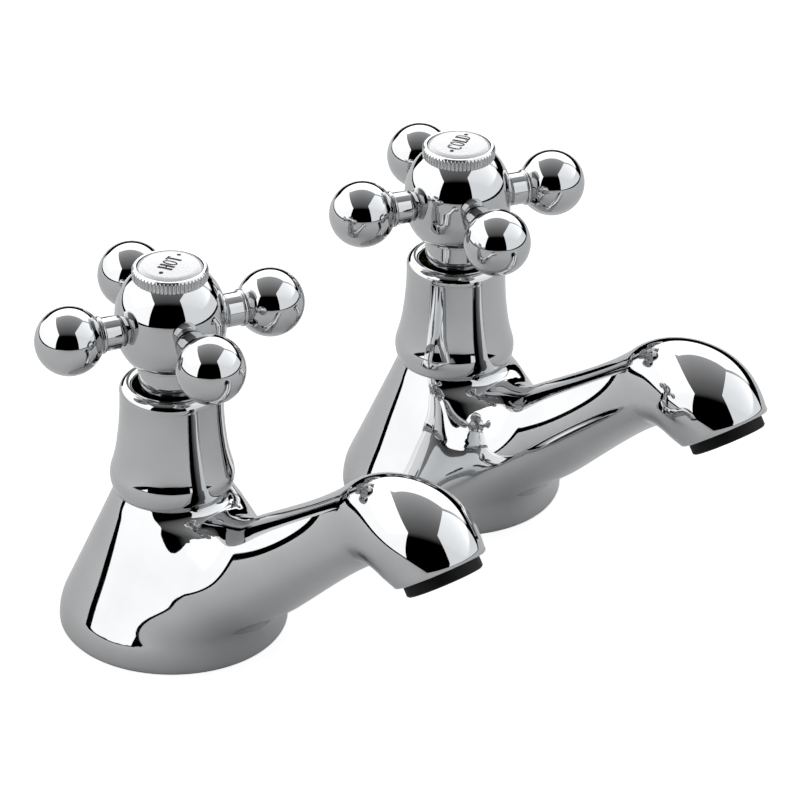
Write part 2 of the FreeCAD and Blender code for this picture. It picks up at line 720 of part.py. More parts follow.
def shroud(name, x):
    """Thin bell-shaped cover over the headwork, open at the top for the handle's neck."""
    wall = S.shroud_wall
    belly_top = S.shoulder_height + S.shroud_belly_height
    waist = upright_arc(S.shroud_waist_radius, S.shroud_rim_radius, S.shroud_height - S.shroud_belly_height)
    return turned(name + "_shroud", x, (
        (S.neck_radius + S.fit_gap, S.shoulder_height),
        (S.shroud_foot_radius, S.shoulder_height, -BELLY_ARC_SHARE),
        (S.shroud_waist_radius, belly_top, waist),
        (S.shroud_rim_radius, SHROUD_RIM, -RIM_ARC_SHARE),
        (S.shroud_crest_radius, SHROUD_TOP, -CREST_ARC_SHARE),
        (S.shroud_hole_radius, SHROUD_HOLE),
        (S.shroud_hole_radius, SHROUD_HOLE - wall),
        (S.shroud_crest_radius, SHROUD_HOLE - wall),
        (S.shroud_rim_radius - wall, SHROUD_RIM - wall),
        (S.neck_radius + S.fit_gap, HEXAGON_BOTTOM),
    ))


def headwork_washer(name, x):
    return turned(name + "_headwork_washer", x, (
        (S.chamber_radius + S.fit_gap, NECK_TOP),
        (S.neck_radius - S.fit_gap, NECK_TOP),
        (S.neck_radius - S.fit_gap, HEXAGON_BOTTOM),
        (S.chamber_radius + S.fit_gap, HEXAGON_BOTTOM),
    ))


def headwork(name, x):
    """Brass insert that carries the spindle and guides the valve carrier."""
    thread_radius = S.chamber_radius - S.fit_gap
    stem = turned(name + "_headwork_stem", x, (
        (0.0, HEADWORK_BOTTOM),
        (thread_radius - S.hex_chamfer, HEADWORK_BOTTOM),
        (thread_radius, HEADWORK_BOTTOM + S.hex_chamfer),
        (thread_radius, HEXAGON_TOP),
        (S.gland_radius, HEXAGON_TOP + S.gland_slope),
        (S.gland_radius, GLAND_TOP),
        (0.0, GLAND_TOP),
    ))
    collar = crowned_hexagon(name + "_headwork_hexagon", x, S.headwork_flats, S.headwork_corner_radius,
                             HEXAGON_BOTTOM, HEXAGON_TOP, True, True)
    guide = hexagon(name + "_headwork_guide", x, S.guide_flats, HEADWORK_BOTTOM - S.overrun, GUIDE_TOP)
    thrust = cylinder(name + "_headwork_thrust", x, S.thrust_radius + S.fit_gap, HEADWORK_BOTTOM,
                      THRUST_FACE)
    bore = cylinder(name + "_headwork_bore", x, S.spindle_radius + S.fit_gap, HEADWORK_BOTTOM,
                    GLAND_TOP + S.overrun)
    return cut(name + "_headwork", fuse(name + "_headwork_blank", stem, collar), guide, thrust, bore)


def thrust_washer(name, x):
    bottom = THRUST_FACE - S.thrust_washer_thickness
    return turned(name + "_thrust_washer", x, (
        (S.spindle_radius + S.fit_gap, bottom),
        (S.thrust_radius, bottom),
        (S.thrust_radius, THRUST_FACE),
        (S.spindle_radius + S.fit_gap, THRUST_FACE),
    ))


def ring_groove(height):
    """The corners of one O-ring groove, from its upper edge down."""
    floor = S.spindle_radius - DOUBLE * S.ring_section
    half = S.ring_groove_width * HALF
    return (
        (S.spindle_radius, height + half),
        (floor, height + half),
        (floor, height - half),
        (S.spindle_radius, height - half),
    )


def spindle(name, x, angle):
    """Screw, flange, journal with its O-ring grooves, circlip groove and splined end."""
    flange_top = THRUST_FACE - S.thrust_washer_thickness
    clip_top = CLIP_TOP + S.fit_gap
    shaft = turned(name + "_spindle_shaft", x, (
        (0.0, SPLINE_BOTTOM),
        (S.spindle_radius, SPLINE_BOTTOM),
        (S.spindle_radius, clip_top),
        (S.clip_groove_radius, clip_top),
        (S.clip_groove_radius, CLIP_HEIGHT),
        (S.spindle_radius, CLIP_HEIGHT),
    ) + ring_groove(UPPER_RING_HEIGHT) + ring_groove(LOWER_RING_HEIGHT) + (
        (S.spindle_radius, flange_top),
        (S.thrust_radius, flange_top),
        (S.thrust_radius, GUIDE_TOP),
        (S.spindle_thread_radius, GUIDE_TOP),
        (S.spindle_thread_radius, SPINDLE_BOTTOM),
        (0.0, SPINDLE_BOTTOM),
    ))
    splines = toothed_prism(name + "_spindle_splines", x, S.spline_radius, S.spline_root_radius,
                            SPLINE_COUNT, SPLINE_BOTTOM - S.fit_gap, SPINDLE_TOP, angle)
    hole = cylinder(name + "_spindle_hole", x, S.screw_radius + S.fit_gap, SCREW_HOLE_BOTTOM,
                    SPINDLE_TOP + S.overrun)
    return cut(name + "_spindle", fuse(name + "_spindle_blank", shaft, splines), hole)


def spindle_rings(name, x):
    rings = []
    for place_name, height in (("lower", LOWER_RING_HEIGHT), ("upper", UPPER_RING_HEIGHT)):
        ring = document.addObject("Part::Torus", "%s_%s_ring" % (name, place_name))
        bind(ring, "Radius1", S.spindle_radius - S.ring_section)
        bind(ring, "Radius2", S.ring_section)
        place(ring, x, 0.0, height)
        rings.append(ring)
    return group(name + "_spindle_o_rings", rings)


def circlip(name, x):
    ring = turned(name + "_circlip_ring", x, (
        (S.clip_groove_radius + S.fit_gap, CLIP_HEIGHT),
        (S.clip_outer_radius, CLIP_HEIGHT),
        (S.clip_outer_radius, CLIP_TOP),
        (S.clip_groove_radius + S.fit_gap, CLIP_TOP),
    ))
    mouth = document.addObject("Part::Box", name + "_circlip_mouth")
    bind(mouth, "Length", S.clip_mouth)
    bind(mouth, "Width", S.clip_outer_radius + S.overrun)
    bind(mouth, "Height", S.clip_thickness + DOUBLE * S.overrun)
    place(mouth, x - S.clip_mouth * HALF, 0.0, CLIP_HEIGHT - S.overrun)
    return cut(name + "_circlip", ring, mouth)


def valve_carrier(name, x):
    """Sliding hexagon with the plate and pin that hold the rubber washer."""
    plate_bottom = SEAT_TOP + S.fit_gap + S.rubber_thickness
    plate_top = plate_bottom + S.carrier_plate_thickness
    pin_bottom = SEAT_TOP + S.fit_gap - S.washer_nut_height
    flats = S.guide_flats - DOUBLE * S.guide_play
    guide = hexagon(name + "_carrier_hexagon", x, flats, plate_top - S.fit_gap, CARRIER_TOP)
    foot = turned(name + "_carrier_foot", x, (
        (0.0, pin_bottom),
        (S.carrier_pin_radius, pin_bottom),
        (S.carrier_pin_radius, plate_bottom),
        (S.carrier_plate_radius, plate_bottom),
        (S.carrier_plate_radius, plate_top),
        (0.0, plate_top),
    ))
    bore = cylinder(name + "_carrier_bore", x, S.spindle_thread_radius + S.fit_gap, CARRIER_BORE_BOTTOM,
                    CARRIER_TOP + S.overrun)
    return cut(name + "_valve_carrier", fuse(name + "_carrier_blank", guide, foot), bore)


def tap_washer(name, x):
    bottom = SEAT_TOP + S.fit_gap
    top = bottom + S.rubber_thickness
    return turned(name + "_tap_washer", x, (
        (S.carrier_pin_radius + S.fit_gap, bottom),
        (S.rubber_radius, bottom),
        (S.rubber_radius, top),
        (S.carrier_pin_radius + S.fit_gap, top),
    ))


def washer_nut(name, x):
    top = SEAT_TOP + S.fit_gap
    bottom = top - S.washer_nut_height
    body = hexagon(name + "_washer_nut_hexagon", x, S.washer_nut_flats, bottom, top)
    bore = cylinder(name + "_washer_nut_bore", x, S.carrier_pin_radius + S.fit_gap, bottom - S.overrun,
                    top + S.overrun)
    return cut(name + "_washer_nut", body, bore)


def handle_hub(name, x, angle):
    """Ball-shaped hub with its neck, splined bore, well and four stud holes."""
    lower_arc = upright_arc(S.hub_radius, S.hub_bottom_radius, S.hub_fall)
    upper_arc = upright_arc(S.hub_radius, S.hub_top_radius, S.hub_rise)
    hub = new_body(name + "_hub_turning", x)
    outline = outline_in(hub, name + "_hub_outline", (
        (S.skirt_bore, SKIRT_BOTTOM),
        (S.skirt_radius, SKIRT_BOTTOM),
        (S.skirt_radius, LIP_BOTTOM),
        (S.lip_radius, LIP_BOTTOM),
        (S.lip_radius, HUB_BOTTOM),
        (S.hub_bottom_radius, HUB_BOTTOM, -lower_arc),
        (S.hub_radius, HUB_LOW),
        (S.hub_radius, HUB_HIGH, -upper_arc),
        (S.hub_top_radius, HUB_TOP),
        (S.well_radius, HUB_TOP),
        (S.well_radius, HUB_FLOOR),
        (S.screw_radius + S.loose_gap, HUB_FLOOR),
        (S.screw_radius + S.loose_gap, SPLINE_BORE_BOTTOM),
        (S.skirt_bore, SPLINE_BORE_BOTTOM),
    ))
    revolve_in(hub, "PartDesign::Revolution", outline, "V_Axis")
    drill = outline_in(hub, name + "_stud_hole_outline", (
        (S.well_radius - S.loose_gap, 0.0),
        (S.hub_radius + S.overrun, 0.0),
        (S.hub_radius + S.overrun, S.bead_radius + S.loose_gap),
        (S.spot_face, S.bead_radius + S.loose_gap),
        (S.spot_face, S.stud_radius + S.fit_gap),
        (S.well_radius - S.loose_gap, S.stud_radius + S.fit_gap),
    ), ARM_HEIGHT)
    groove = revolve_in(hub, "PartDesign::Groove", drill, "H_Axis")
    repeat_round(hub, groove, ARM_COUNT)
    turn_about(hub, UPWARDS, angle)
    tips = S.spline_radius + S.fit_gap
    roots = S.spline_root_radius + S.fit_gap
    splines = toothed_prism(name + "_hub_splines", x, tips, roots, SPLINE_COUNT,
                            SPLINE_BORE_BOTTOM - S.fit_gap, SPINDLE_TOP + S.fit_gap, angle)
    return cut(name + "_handle_hub", hub, splines)


def handle_arms(name, x, angle):
    """Four turned arms, each a stud, bead, arm, collar and ball in one piece."""
    arms = new_body(name + "_handle_arms", x)
    arms.AllowCompound = True
    ball_edge = root(S.ball_radius * S.ball_radius - S.arm_radius * S.arm_radius)
    collar_end = S.ball_centre - ball_edge
    collar_start = collar_end - S.collar_width
    near = (collar_end, S.arm_radius)
    far = (S.ball_centre + S.ball_radius, 0.0)
    ball_share = S.ball_radius / chord((near[0], near[1]), (far[0], as_size(far[1])))
    outline = outline_in(arms, name + "_arm_outline", (
        (S.stud_start, 0.0),
        (S.stud_start, S.stud_radius),
        (S.spot_face, S.stud_radius),
        (S.spot_face, S.bead_radius, BEAD_ARC_SHARE),
        (S.arm_start, S.bead_radius),
        (S.arm_start, S.arm_radius),
        (collar_start, S.arm_radius),
        (collar_start, S.collar_radius, BEAD_ARC_SHARE),
        (collar_end, S.collar_radius),
        (near[0], near[1], ball_share.value),
        far,
    ), ARM_HEIGHT)
    turning = revolve_in(arms, "PartDesign::Revolution", outline, "H_Axis")
    repeat_round(arms, turning, ARM_COUNT)
    turn_about(arms, UPWARDS, angle)
    return arms


def handle_screw(name, x):
    head_top = HUB_FLOOR + S.screw_head_height
    blank = turned(name + "_screw_blank", x, (
        (0.0, SCREW_BOTTOM),
        (S.screw_radius, SCREW_BOTTOM),
        (S.screw_radius, HUB_FLOOR),
        (S.screw_head_radius, HUB_FLOOR),
        (S.screw_head_radius, head_top - S.screw_slot_depth, -HEAD_ARC_SHARE),
        (S.screw_head_radius - S.screw_slot_depth, head_top),
        (0.0, head_top),
    ))
    slot = document.addObject("Part::Box", name + "_screw_slot")
    bind(slot, "Length", DOUBLE * (S.screw_head_radius + S.overrun))
    bind(slot, "Width", S.screw_slot_width)
    bind(slot, "Height", S.screw_slot_depth + S.overrun)
    half_slot = S.screw_slot_width * HALF
    place(slot, x - S.screw_head_radius - S.overrun, -half_slot, head_top - S.screw_slot_depth)
    return cut(name + "_handle_screw", blank, slot)


def index_bezel(name, x, angle):
    """Knurled ring that screws into the hub and holds the ceramic disc."""
    blank = turned(name + "_bezel_blank", x, (
        (S.bezel_skirt_bore, BEZEL_SKIRT_BOTTOM),
        (S.bezel_skirt_radius, BEZEL_SKIRT_BOTTOM),
        (S.bezel_skirt_radius, HUB_TOP),
        (S.bezel_radius, HUB_TOP),
        (S.bezel_radius, KNURL_TOP),
        (S.bezel_rim_radius, BEZEL_TOP),
        (S.disc_radius + S.disc_gap, BEZEL_TOP),
        (S.disc_radius + S.disc_gap, DISC_BOTTOM),
        (S.bezel_skirt_bore, DISC_BOTTOM),
    ))
    knurl = toothed_prism(name + "_bezel_knurl", x, S.bezel_radius, S.bezel_radius - S.knurl_depth,
                          KNURL_COUNT, BEZEL_SKIRT_BOTTOM, BEZEL_TOP, angle)
    return common(name + "_index_bezel", blank, knurl)


def index_disc(name, x):
    """Ceramic disc with a rounded shoulder and a slightly crowned face."""
    shoulder_height = DISC_EDGE_HEIGHT + S.disc_shoulder_rise
    crown_arc = upright_arc(S.disc_crown, 0.0, S.disc_shoulder_radius)
    return turned(name + "_index_disc", x, (
        (0.0, DISC_BOTTOM),
        (S.disc_radius, DISC_BOTTOM),
        (S.disc_radius, DISC_EDGE_HEIGHT, -SHOULDER_ARC_SHARE),
        (S.disc_shoulder_radius, shoulder_height, -crown_arc),
        (0.0, shoulder_height + S.disc_crown),
    ))


def tap(name, x, angle):
    return [
        body_casting(name, x),
        outlet_nozzle(name, x),
        base_gasket(name, x),
        deck_washer(name, x),
        back_nut(name, x),
        shroud(name, x),
        headwork_washer(name, x),
        headwork(name, x),
        thrust_washer(name, x),
        spindle(name, x, angle),
        spindle_rings(name, x),
        circlip(name, x),
        valve_carrier(name, x),
        tap_washer(name, x),
        washer_nut(name, x),
        handle_hub(name, x, angle),
        handle_arms(name, x, angle),
        handle_screw(name, x),
        index_bezel(name, x, angle),
        index_disc(name, x),
    ]


def check(pieces):
    for thing in document.Objects:
        if "Invalid" in thing.State or "Error" in thing.State:
            raise RuntimeError("%s failed: %s" % (thing.Name, thing.State))
    for piece in pieces:
        if piece.Shape.isNull() or not piece.Shape.isValid() or piece.Shape.Volume <= 0:
            raise RuntimeError("%s has no sound shape" % piece.Label)


half_spacing = S.tap_spacing * HALF
nodes = tap("hot", -half_spacing, S.hot_handle_angle) + tap("cold", half_spacing, S.cold_handle_angle)
document.recompute()
check(nodes)
os.makedirs("parts", exist_ok=True)
for node in nodes:
    node.Shape.exportStep("parts/%s.step" % node.Label)
    print("%-22s %2d solids %10.1f mm3" % (node.Label, len(node.Shape.Solids), node.Shape.Volume))
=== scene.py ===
import math
import bmesh
import bpy
import numpy as np
from mathutils import Matrix, Vector


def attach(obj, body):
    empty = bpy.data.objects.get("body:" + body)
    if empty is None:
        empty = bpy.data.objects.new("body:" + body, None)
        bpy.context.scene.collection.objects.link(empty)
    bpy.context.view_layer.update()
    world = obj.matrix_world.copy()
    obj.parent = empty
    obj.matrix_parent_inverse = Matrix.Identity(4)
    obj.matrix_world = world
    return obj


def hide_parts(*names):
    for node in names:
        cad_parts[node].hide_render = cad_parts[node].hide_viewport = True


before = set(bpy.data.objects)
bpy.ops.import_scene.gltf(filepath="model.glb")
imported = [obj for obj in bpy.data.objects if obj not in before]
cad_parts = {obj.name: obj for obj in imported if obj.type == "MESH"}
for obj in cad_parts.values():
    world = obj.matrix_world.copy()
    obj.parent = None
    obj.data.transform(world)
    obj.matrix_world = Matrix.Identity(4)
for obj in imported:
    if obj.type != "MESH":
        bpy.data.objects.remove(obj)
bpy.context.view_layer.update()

MM = 0.001
TAPS = (("hot", -46.8, -20.0), ("cold", 46.8, -22.4))


# Outlines: runs of lines and arcs with rounded corners and exact tangents, in millimetres

ARC_STEP = math.radians(2.5)
CORNER_STEP = 12
LEAST_CORNER = math.radians(4)
LONGEST_CUT = 0.45
CORNER_HANDLE = 0.35


class Line:
    def __init__(self, start, end):
        self.start, self.end = np.array(start, float), np.array(end, float)
        self.length = float(np.linalg.norm(self.end - self.start))
        self.low, self.high = 0.0, 1.0

    def place(self, share):
        return self.start + (self.end - self.start) * share

    def way(self, share):
        return (self.end - self.start) / self.length

    def shares(self):
        return [self.low, self.high]


class Arc:
    """Bulges to the right of the way from start to end when side is 1, to the left when it is -1."""

    def __init__(self, start, end, radius):
        start, end = np.array(start, float), np.array(end, float)
        self.side = 1.0 if radius > 0 else -1.0
        self.radius = abs(radius)
        way = end - start
        half = np.linalg.norm(way) / 2
        right = np.array([way[1], -way[0]]) / (2 * half)
        rise = math.sqrt(max(self.radius ** 2 - half ** 2, 0.0))
        self.centre = (start + end) / 2 - right * self.side * rise
        self.first = math.atan2(*(start - self.centre)[::-1])
        last = math.atan2(*(end - self.centre)[::-1])
        self.turn = (last - self.first) % (2 * math.pi)
        if self.side < 0:
            self.turn -= 2 * math.pi
        self.length = abs(self.turn) * self.radius
        self.low, self.high = 0.0, 1.0

    def angle(self, share):
        return self.first + self.turn * share

    def place(self, share):
        angle = self.angle(share)
        return self.centre + self.radius * np.array([math.cos(angle), math.sin(angle)])

    def way(self, share):
        angle = self.angle(share)
        return np.array([-math.sin(angle), math.cos(angle)]) * math.copysign(1.0, self.turn)

    def shares(self):
        steps = max(int(abs(self.turn) * (self.high - self.low) / ARC_STEP), 2)
        return list(np.linspace(self.low, self.high, steps + 1))


def corner_curve(start, start_way, end, end_way):
    """A small smooth curve that takes the place of a sharp corner, as (place, way) samples."""
    span = np.linalg.norm(end - start)
    turn = math.acos(max(-1.0, min(1.0, float(start_way @ end_way))))
    handle = span * CORNER_HANDLE * (1 + turn * turn / 12)
    points = [start, start + start_way * handle, end - end_way * handle, end]
    steps = max(int(math.degrees(turn) / CORNER_STEP), 3)
    samples = []
    for share in np.linspace(0, 1, steps + 1):
        rest = 1 - share
        place = (rest ** 3 * points[0] + 3 * rest ** 2 * share * points[1]
                 + 3 * rest * share ** 2 * points[2] + share ** 3 * points[3])
        way = (rest ** 2 * (points[1] - points[0]) + 2 * rest * share * (points[2] - points[1])
               + share ** 2 * (points[3] - points[2]))
        samples.append((place, way / np.linalg.norm(way)))
    return samples


def outline(points, rounding, closed=True):
    """Samples (place, way) along points.

    A point is (r, z). It may add the radius of the arc to the next point, and its own corner rounding.
    """
    runs = []
    count = len(points)
    for index in range(count if closed else count - 1):
        here, after = points[index], points[(index + 1) % count]
        bend = here[2] if len(here) > 2 and here[2] else None
        run = Arc(here[:2], after[:2], bend) if bend else Line(here[:2], after[:2])
        run.corner = here[3] if len(here) > 3 else rounding
        runs.append(run)
    rounded = {}
    for index, run in enumerate(runs):
        before = runs[index - 1]
        if index == 0 and not closed:
            continue
        turn = math.acos(max(-1.0, min(1.0, float(before.way(1.0) @ run.way(0.0)))))
        if turn < LEAST_CORNER or run.corner <= 0:
            continue
        reach = min(run.corner * math.tan(turn / 2), LONGEST_CUT * before.length, LONGEST_CUT * run.length)
        before.high = 1 - reach / before.length
        run.low = reach / run.length
        rounded[index] = before
    samples = []
    for index, run in enumerate(runs):
        if index in rounded:
            before = rounded[index]
            curve = corner_curve(before.place(before.high), before.way(before.high),
                                 run.place(run.low), run.way(run.low))
            samples += curve[1:-1] if samples else curve[:-1]
        for share in run.shares():
            place, way = run.place(share), run.way(share)
            if samples and np.linalg.norm(samples[-1][0] - place) < 1e-6:
                continue
            samples.append((place, way))
    if closed:
        samples.append((samples[0][0], samples[0][1]))
    return samples


# Meshes

def linked(name, data):
    """A new object in the scene for a mesh, light or camera."""
    thing = bpy.data.objects.new(name, data)
    bpy.context.scene.collection.objects.link(thing)
    return thing


def make_object(name, places, faces, normals=None):
    """A smoothly shaded mesh object from places in millimetres."""
    mesh = bpy.data.meshes.new(name)
    mesh.from_pydata((np.asarray(places) * MM).tolist(), [], faces)
    mesh.validate()
    mesh.shade_smooth()
    if normals is not None:
        mesh.normals_split_custom_set_from_vertices([tuple(normal) for normal in normals])
    mesh.update()
    return linked(name, mesh)


def ring_faces(rows, count):
    """Quads between each ring of count vertices and the next one."""
    faces = []
    for row in range(rows - 1):
        for column in range(count):
            after = (column + 1) % count
            faces.append((row * count + column, row * count + after, (row + 1) * count + after,
                          (row + 1) * count + column))
    return faces


def turned_skin(samples, columns, shape=None):
    """Vertices, faces and normals of a surface turned about Z. shape gives a row's own radii."""
    angles = np.linspace(0, 2 * math.pi, columns, endpoint=False)
    places, normals, rows = [], [], []
    for place, way in samples:
        radius, height = place
        out, up = way[1], -way[0]
        if radius < 1e-5:
            rows.append([len(places)])
            places.append((0, 0, height))
            normals.append((0, 0, 1 if up > 0 else -1))
            continue
        radii = np.full(columns, radius) if shape is None else shape(radius, height, angles)
        rows.append(list(range(len(places), len(places) + columns)))
        for angle, wide in zip(angles, radii):
            places.append((wide * math.cos(angle), wide * math.sin(angle), height))
            normals.append((out * math.cos(angle), out * math.sin(angle), up))
    faces = []
    for low, high in zip(rows, rows[1:]):
        for column in range(columns):
            after = (column + 1) % columns
            if len(low) == 1 and len(high) == 1:
                continue
            if len(low) == 1:
                faces.append((low[0], high[after], high[column]))
            elif len(high) == 1:
                faces.append((low[column], low[after], high[0]))
            else:
                faces.append((low[column], low[after], high[after], high[column]))
    return np.array(places), faces, np.array(normals)


def turned(name, points, columns, rounding, closed=True):
    places, faces, normals = turned_skin(outline(points, rounding, closed), columns)
    return make_object(name, places, faces, normals)


def moved(thing, matrix):
    """Bakes a placement (millimetres) into a mesh, custom normals included."""
    fixed = matrix.copy()
    fixed.translation = matrix.translation * MM
    mesh = thing.data
    normals = [fixed.to_3x3() @ Vector(normal.vector) for normal in mesh.corner_normals]
    mesh.transform(fixed)
    mesh.normals_split_custom_set([tuple(normal.normalized()) for normal in normals])
    mesh.update()
    return thing


def joined(name, things):
    """Joins meshes into one object and keeps their custom normals."""
    places, faces, normals = [], [], []
    for thing in things:
        mesh = thing.data
        start = len(places)
        places += [tuple(vertex.co) for vertex in mesh.vertices]
        for face in mesh.polygons:
            faces.append(tuple(start + index for index in face.vertices))
            normals += [tuple(mesh.corner_normals[loop].vector) for loop in face.loop_indices]
    mesh = bpy.data.meshes.new(name)
    mesh.from_pydata(places, [], faces)
    mesh.shade_smooth()
    mesh.normals_split_custom_set(normals)
    mesh.update()
    for thing in things:
        bpy.data.objects.remove(thing)
    return linked(name, mesh)


# Materials

NOISE_DETAIL = 4.0
NOISE_RANGE = (0.3, 0.7)
RELIEF_SCALE = 7


def new_material(name, color, roughness, metallic=0.0):
    material = bpy.data.materials.new(name)
    material.use_nodes = True
    shader = material.node_tree.nodes["Principled BSDF"]
    shader.inputs["Base Color"].default_value = (*color, 1)
    shader.inputs["Roughness"].default_value = roughness
    shader.inputs["Metallic"].default_value = metallic
    return material, shader


def noise(material, scale):
    nodes = material.node_tree.nodes
    place = nodes.new("ShaderNodeTexCoord")
    texture = nodes.new("ShaderNodeTexNoise")
    texture.inputs["Scale"].default_value = scale
    texture.inputs["Detail"].default_value = NOISE_DETAIL
    material.node_tree.links.new(place.outputs["Object"], texture.inputs["Vector"])
    return texture.outputs["Fac"]


def spread(material, source, low, high):
    """Maps the noise's usual range to low and high."""
    node = material.node_tree.nodes.new("ShaderNodeMapRange")
    node.inputs["From Min"].default_value = NOISE_RANGE[0]
    node.inputs["From Max"].default_value = NOISE_RANGE[1]
    node.inputs["To Min"].default_value = low
    node.inputs["To Max"].default_value = high
    material.node_tree.links.new(source, node.inputs["Value"])
    return node.outputs["Result"]


def tint(material, source, dark, light):
    node = material.node_tree.nodes.new("ShaderNodeMix")
    node.data_type = "RGBA"
    node.inputs["A"].default_value = (*dark, 1)
    node.inputs["B"].default_value = (*light, 1)
    material.node_tree.links.new(source, node.inputs["Factor"])
    return node.outputs["Result"]


def relief(material, shader, source, depth, distance):
    node = material.node_tree.nodes.new("ShaderNodeBump")
    node.inputs["Strength"].default_value = depth
    node.inputs["Distance"].default_value = distance
    material.node_tree.links.new(source, node.inputs["Height"])
    material.node_tree.links.new(node.outputs["Normal"], shader.inputs["Normal"])


def varied(name, dark, light, scale, rough_low, rough_high, metallic=0.0, depth=0.0, distance=0.0001):
    """A material whose colour and roughness drift with noise, with optional relief."""
    material, shader = new_material(name, light, rough_high, metallic)
    drift = noise(material, scale)
    links = material.node_tree.links
    links.new(tint(material, spread(material, drift, 0.0, 1.0), dark, light), shader.inputs["Base Color"])
    links.new(spread(material, drift, rough_low, rough_high), shader.inputs["Roughness"])
    if depth:
        relief(material, shader, noise(material, scale * RELIEF_SCALE), depth, distance)
    return material


CHROME = varied("polished_chrome", (0.52, 0.525, 0.53), (0.57, 0.575, 0.58), 60, 0.015, 0.035, 1.0)
BRASS = varied("turned_brass", (0.60, 0.40, 0.16), (0.72, 0.52, 0.24), 90, 0.22, 0.36, 1.0, 0.08, 0.0001)
BLACK = varied("black_nozzle", (0.004, 0.004, 0.0045), (0.008, 0.008, 0.009), 200, 0.42, 0.55,
               depth=0.1, distance=0.00005)
RUBBER = varied("black_rubber", (0.010, 0.010, 0.010), (0.028, 0.028, 0.028), 300, 0.55, 0.75,
                depth=0.2, distance=0.00008)
FOAM = varied("foam_rubber", (0.03, 0.03, 0.03), (0.07, 0.07, 0.07), 900, 0.8, 0.95, 0.0, 0.6, 0.0002)
FIBRE = varied("red_fibre", (0.22, 0.035, 0.02), (0.40, 0.09, 0.05), 500, 0.6, 0.8, 0.0, 0.4, 0.0001)
NYLON = varied("nylon", (0.70, 0.69, 0.64), (0.82, 0.81, 0.77), 120, 0.35, 0.5)
STEEL = varied("spring_steel", (0.40, 0.40, 0.41), (0.52, 0.52, 0.53), 200, 0.25, 0.38, 1.0, 0.05)
CERAMIC = varied("glazed_ceramic", (0.66, 0.66, 0.67), (0.72, 0.72, 0.73), 40, 0.08, 0.14)
INK = varied("fired_enamel", (0.006, 0.006, 0.007), (0.014, 0.014, 0.015), 400, 0.4, 0.55)
for dull in (BLACK, INK):
    dull.node_tree.nodes["Principled BSDF"].inputs["Specular IOR Level"].default_value = 0.12
CERAMIC.node_tree.nodes["Principled BSDF"].inputs["Coat Weight"].default_value = 0.3
CERAMIC.node_tree.nodes["Principled BSDF"].inputs["Coat Roughness"].default_value = 0.05


def dress(thing, material):
    thing.data.materials.clear()
    thing.data.materials.append(material)


def fit_piece(thing, body, slot, material, *nodes):
    dress(thing, material)
    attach(thing, body)
    if nodes:
        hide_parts(*nodes)


# The cast body: the flare and the spout run together through a smooth implicit surface

# The spout's centre line in (y, z): its start on the tap's axis, its two bends and its end
SPINE_START = np.array([0.0, 22.0])
ROOT = np.array([-24.0, 21.1])
OUTLET = np.array([-90.1, 52.9])
ROOT_RUN = 14.0
NOSE_RUN = 16.6
TILT = math.radians(35.4)
OUTLET_WAY = np.array([-math.sin(TILT), -math.cos(TILT)])

# The spout's radii at shares of its length
WAIST = 9.4
STATIONS = [0.0, 0.10, 0.20, 0.30, 0.40, 0.50, 0.60, 0.70, 0.80, 0.87, 0.94, 1.0]
STATION_RADII = [WAIST * share for share in (
    1.45, 1.39, 1.36, 1.30, 1.21, 1.105, 1.02, 1.00, 1.11, 1.25, 1.28, 1.16)]

# The flare's two rolls (centre's radius and own radius, both at one height) and its cone
ROLL_HEIGHT = 1.2
LOWER_ROLL = (25.71, 1.69)
UPPER_ROLL = (12.78, 14.62)
CONE_START = 7.0
CONE_RADIUS = 26.2
CONE_FALL = 12.6
CONE_RISE = 29.5
CONE_COSINE = 0.92
FLARE_TOP = 44.0

# The flare is drawn out below the spout: how much, and the heights where that comes and goes
STRETCH = 0.16
STRETCH_IN = (1.1, 18.0)
STRETCH_OUT = (23.6, 46.0)
STRETCH_SOFTNESS = 77.0

# The spout's section leans, wider below than above: how much, and the shares where that comes and goes
LEAN = 0.36
LEAN_IN = (0.05, 0.3)
LEAN_OUT = (0.72, 0.95)
LEAN_BIAS = 0.1

# The blend between flare and spout: its width, and where it fades towards the back and the shoulder
BLEND = 14.0
BLEND_FRONT = (-6.9, 24.0)
BLEND_BELOW = (-36.3, -32.5)

# Planes where the net is cut and turned faces go on: above the foot, at the shoulder, before the lip
FOOT_CUT = 1.2
TOP_CUT = 36.3
LIP_CUT = 1.5
ON_PLANE = 0.002
NEAR_PLANE = 0.01

# Which faces a cut may touch: at the lip y below and z above, at the foot z below, and at the
# shoulder the radius below and z above these
LIP_ZONE = (-70.0, 35.0)
FOOT_ZONE = 10.0
TOP_ZONE = (18.0, 30.0)

# The box and cell size of the casting's net
NET_LOW = (-29.0, -104.0, -2.2)
NET_HIGH = (29.0, 29.0, 80.0)
NET_CELL = 0.9


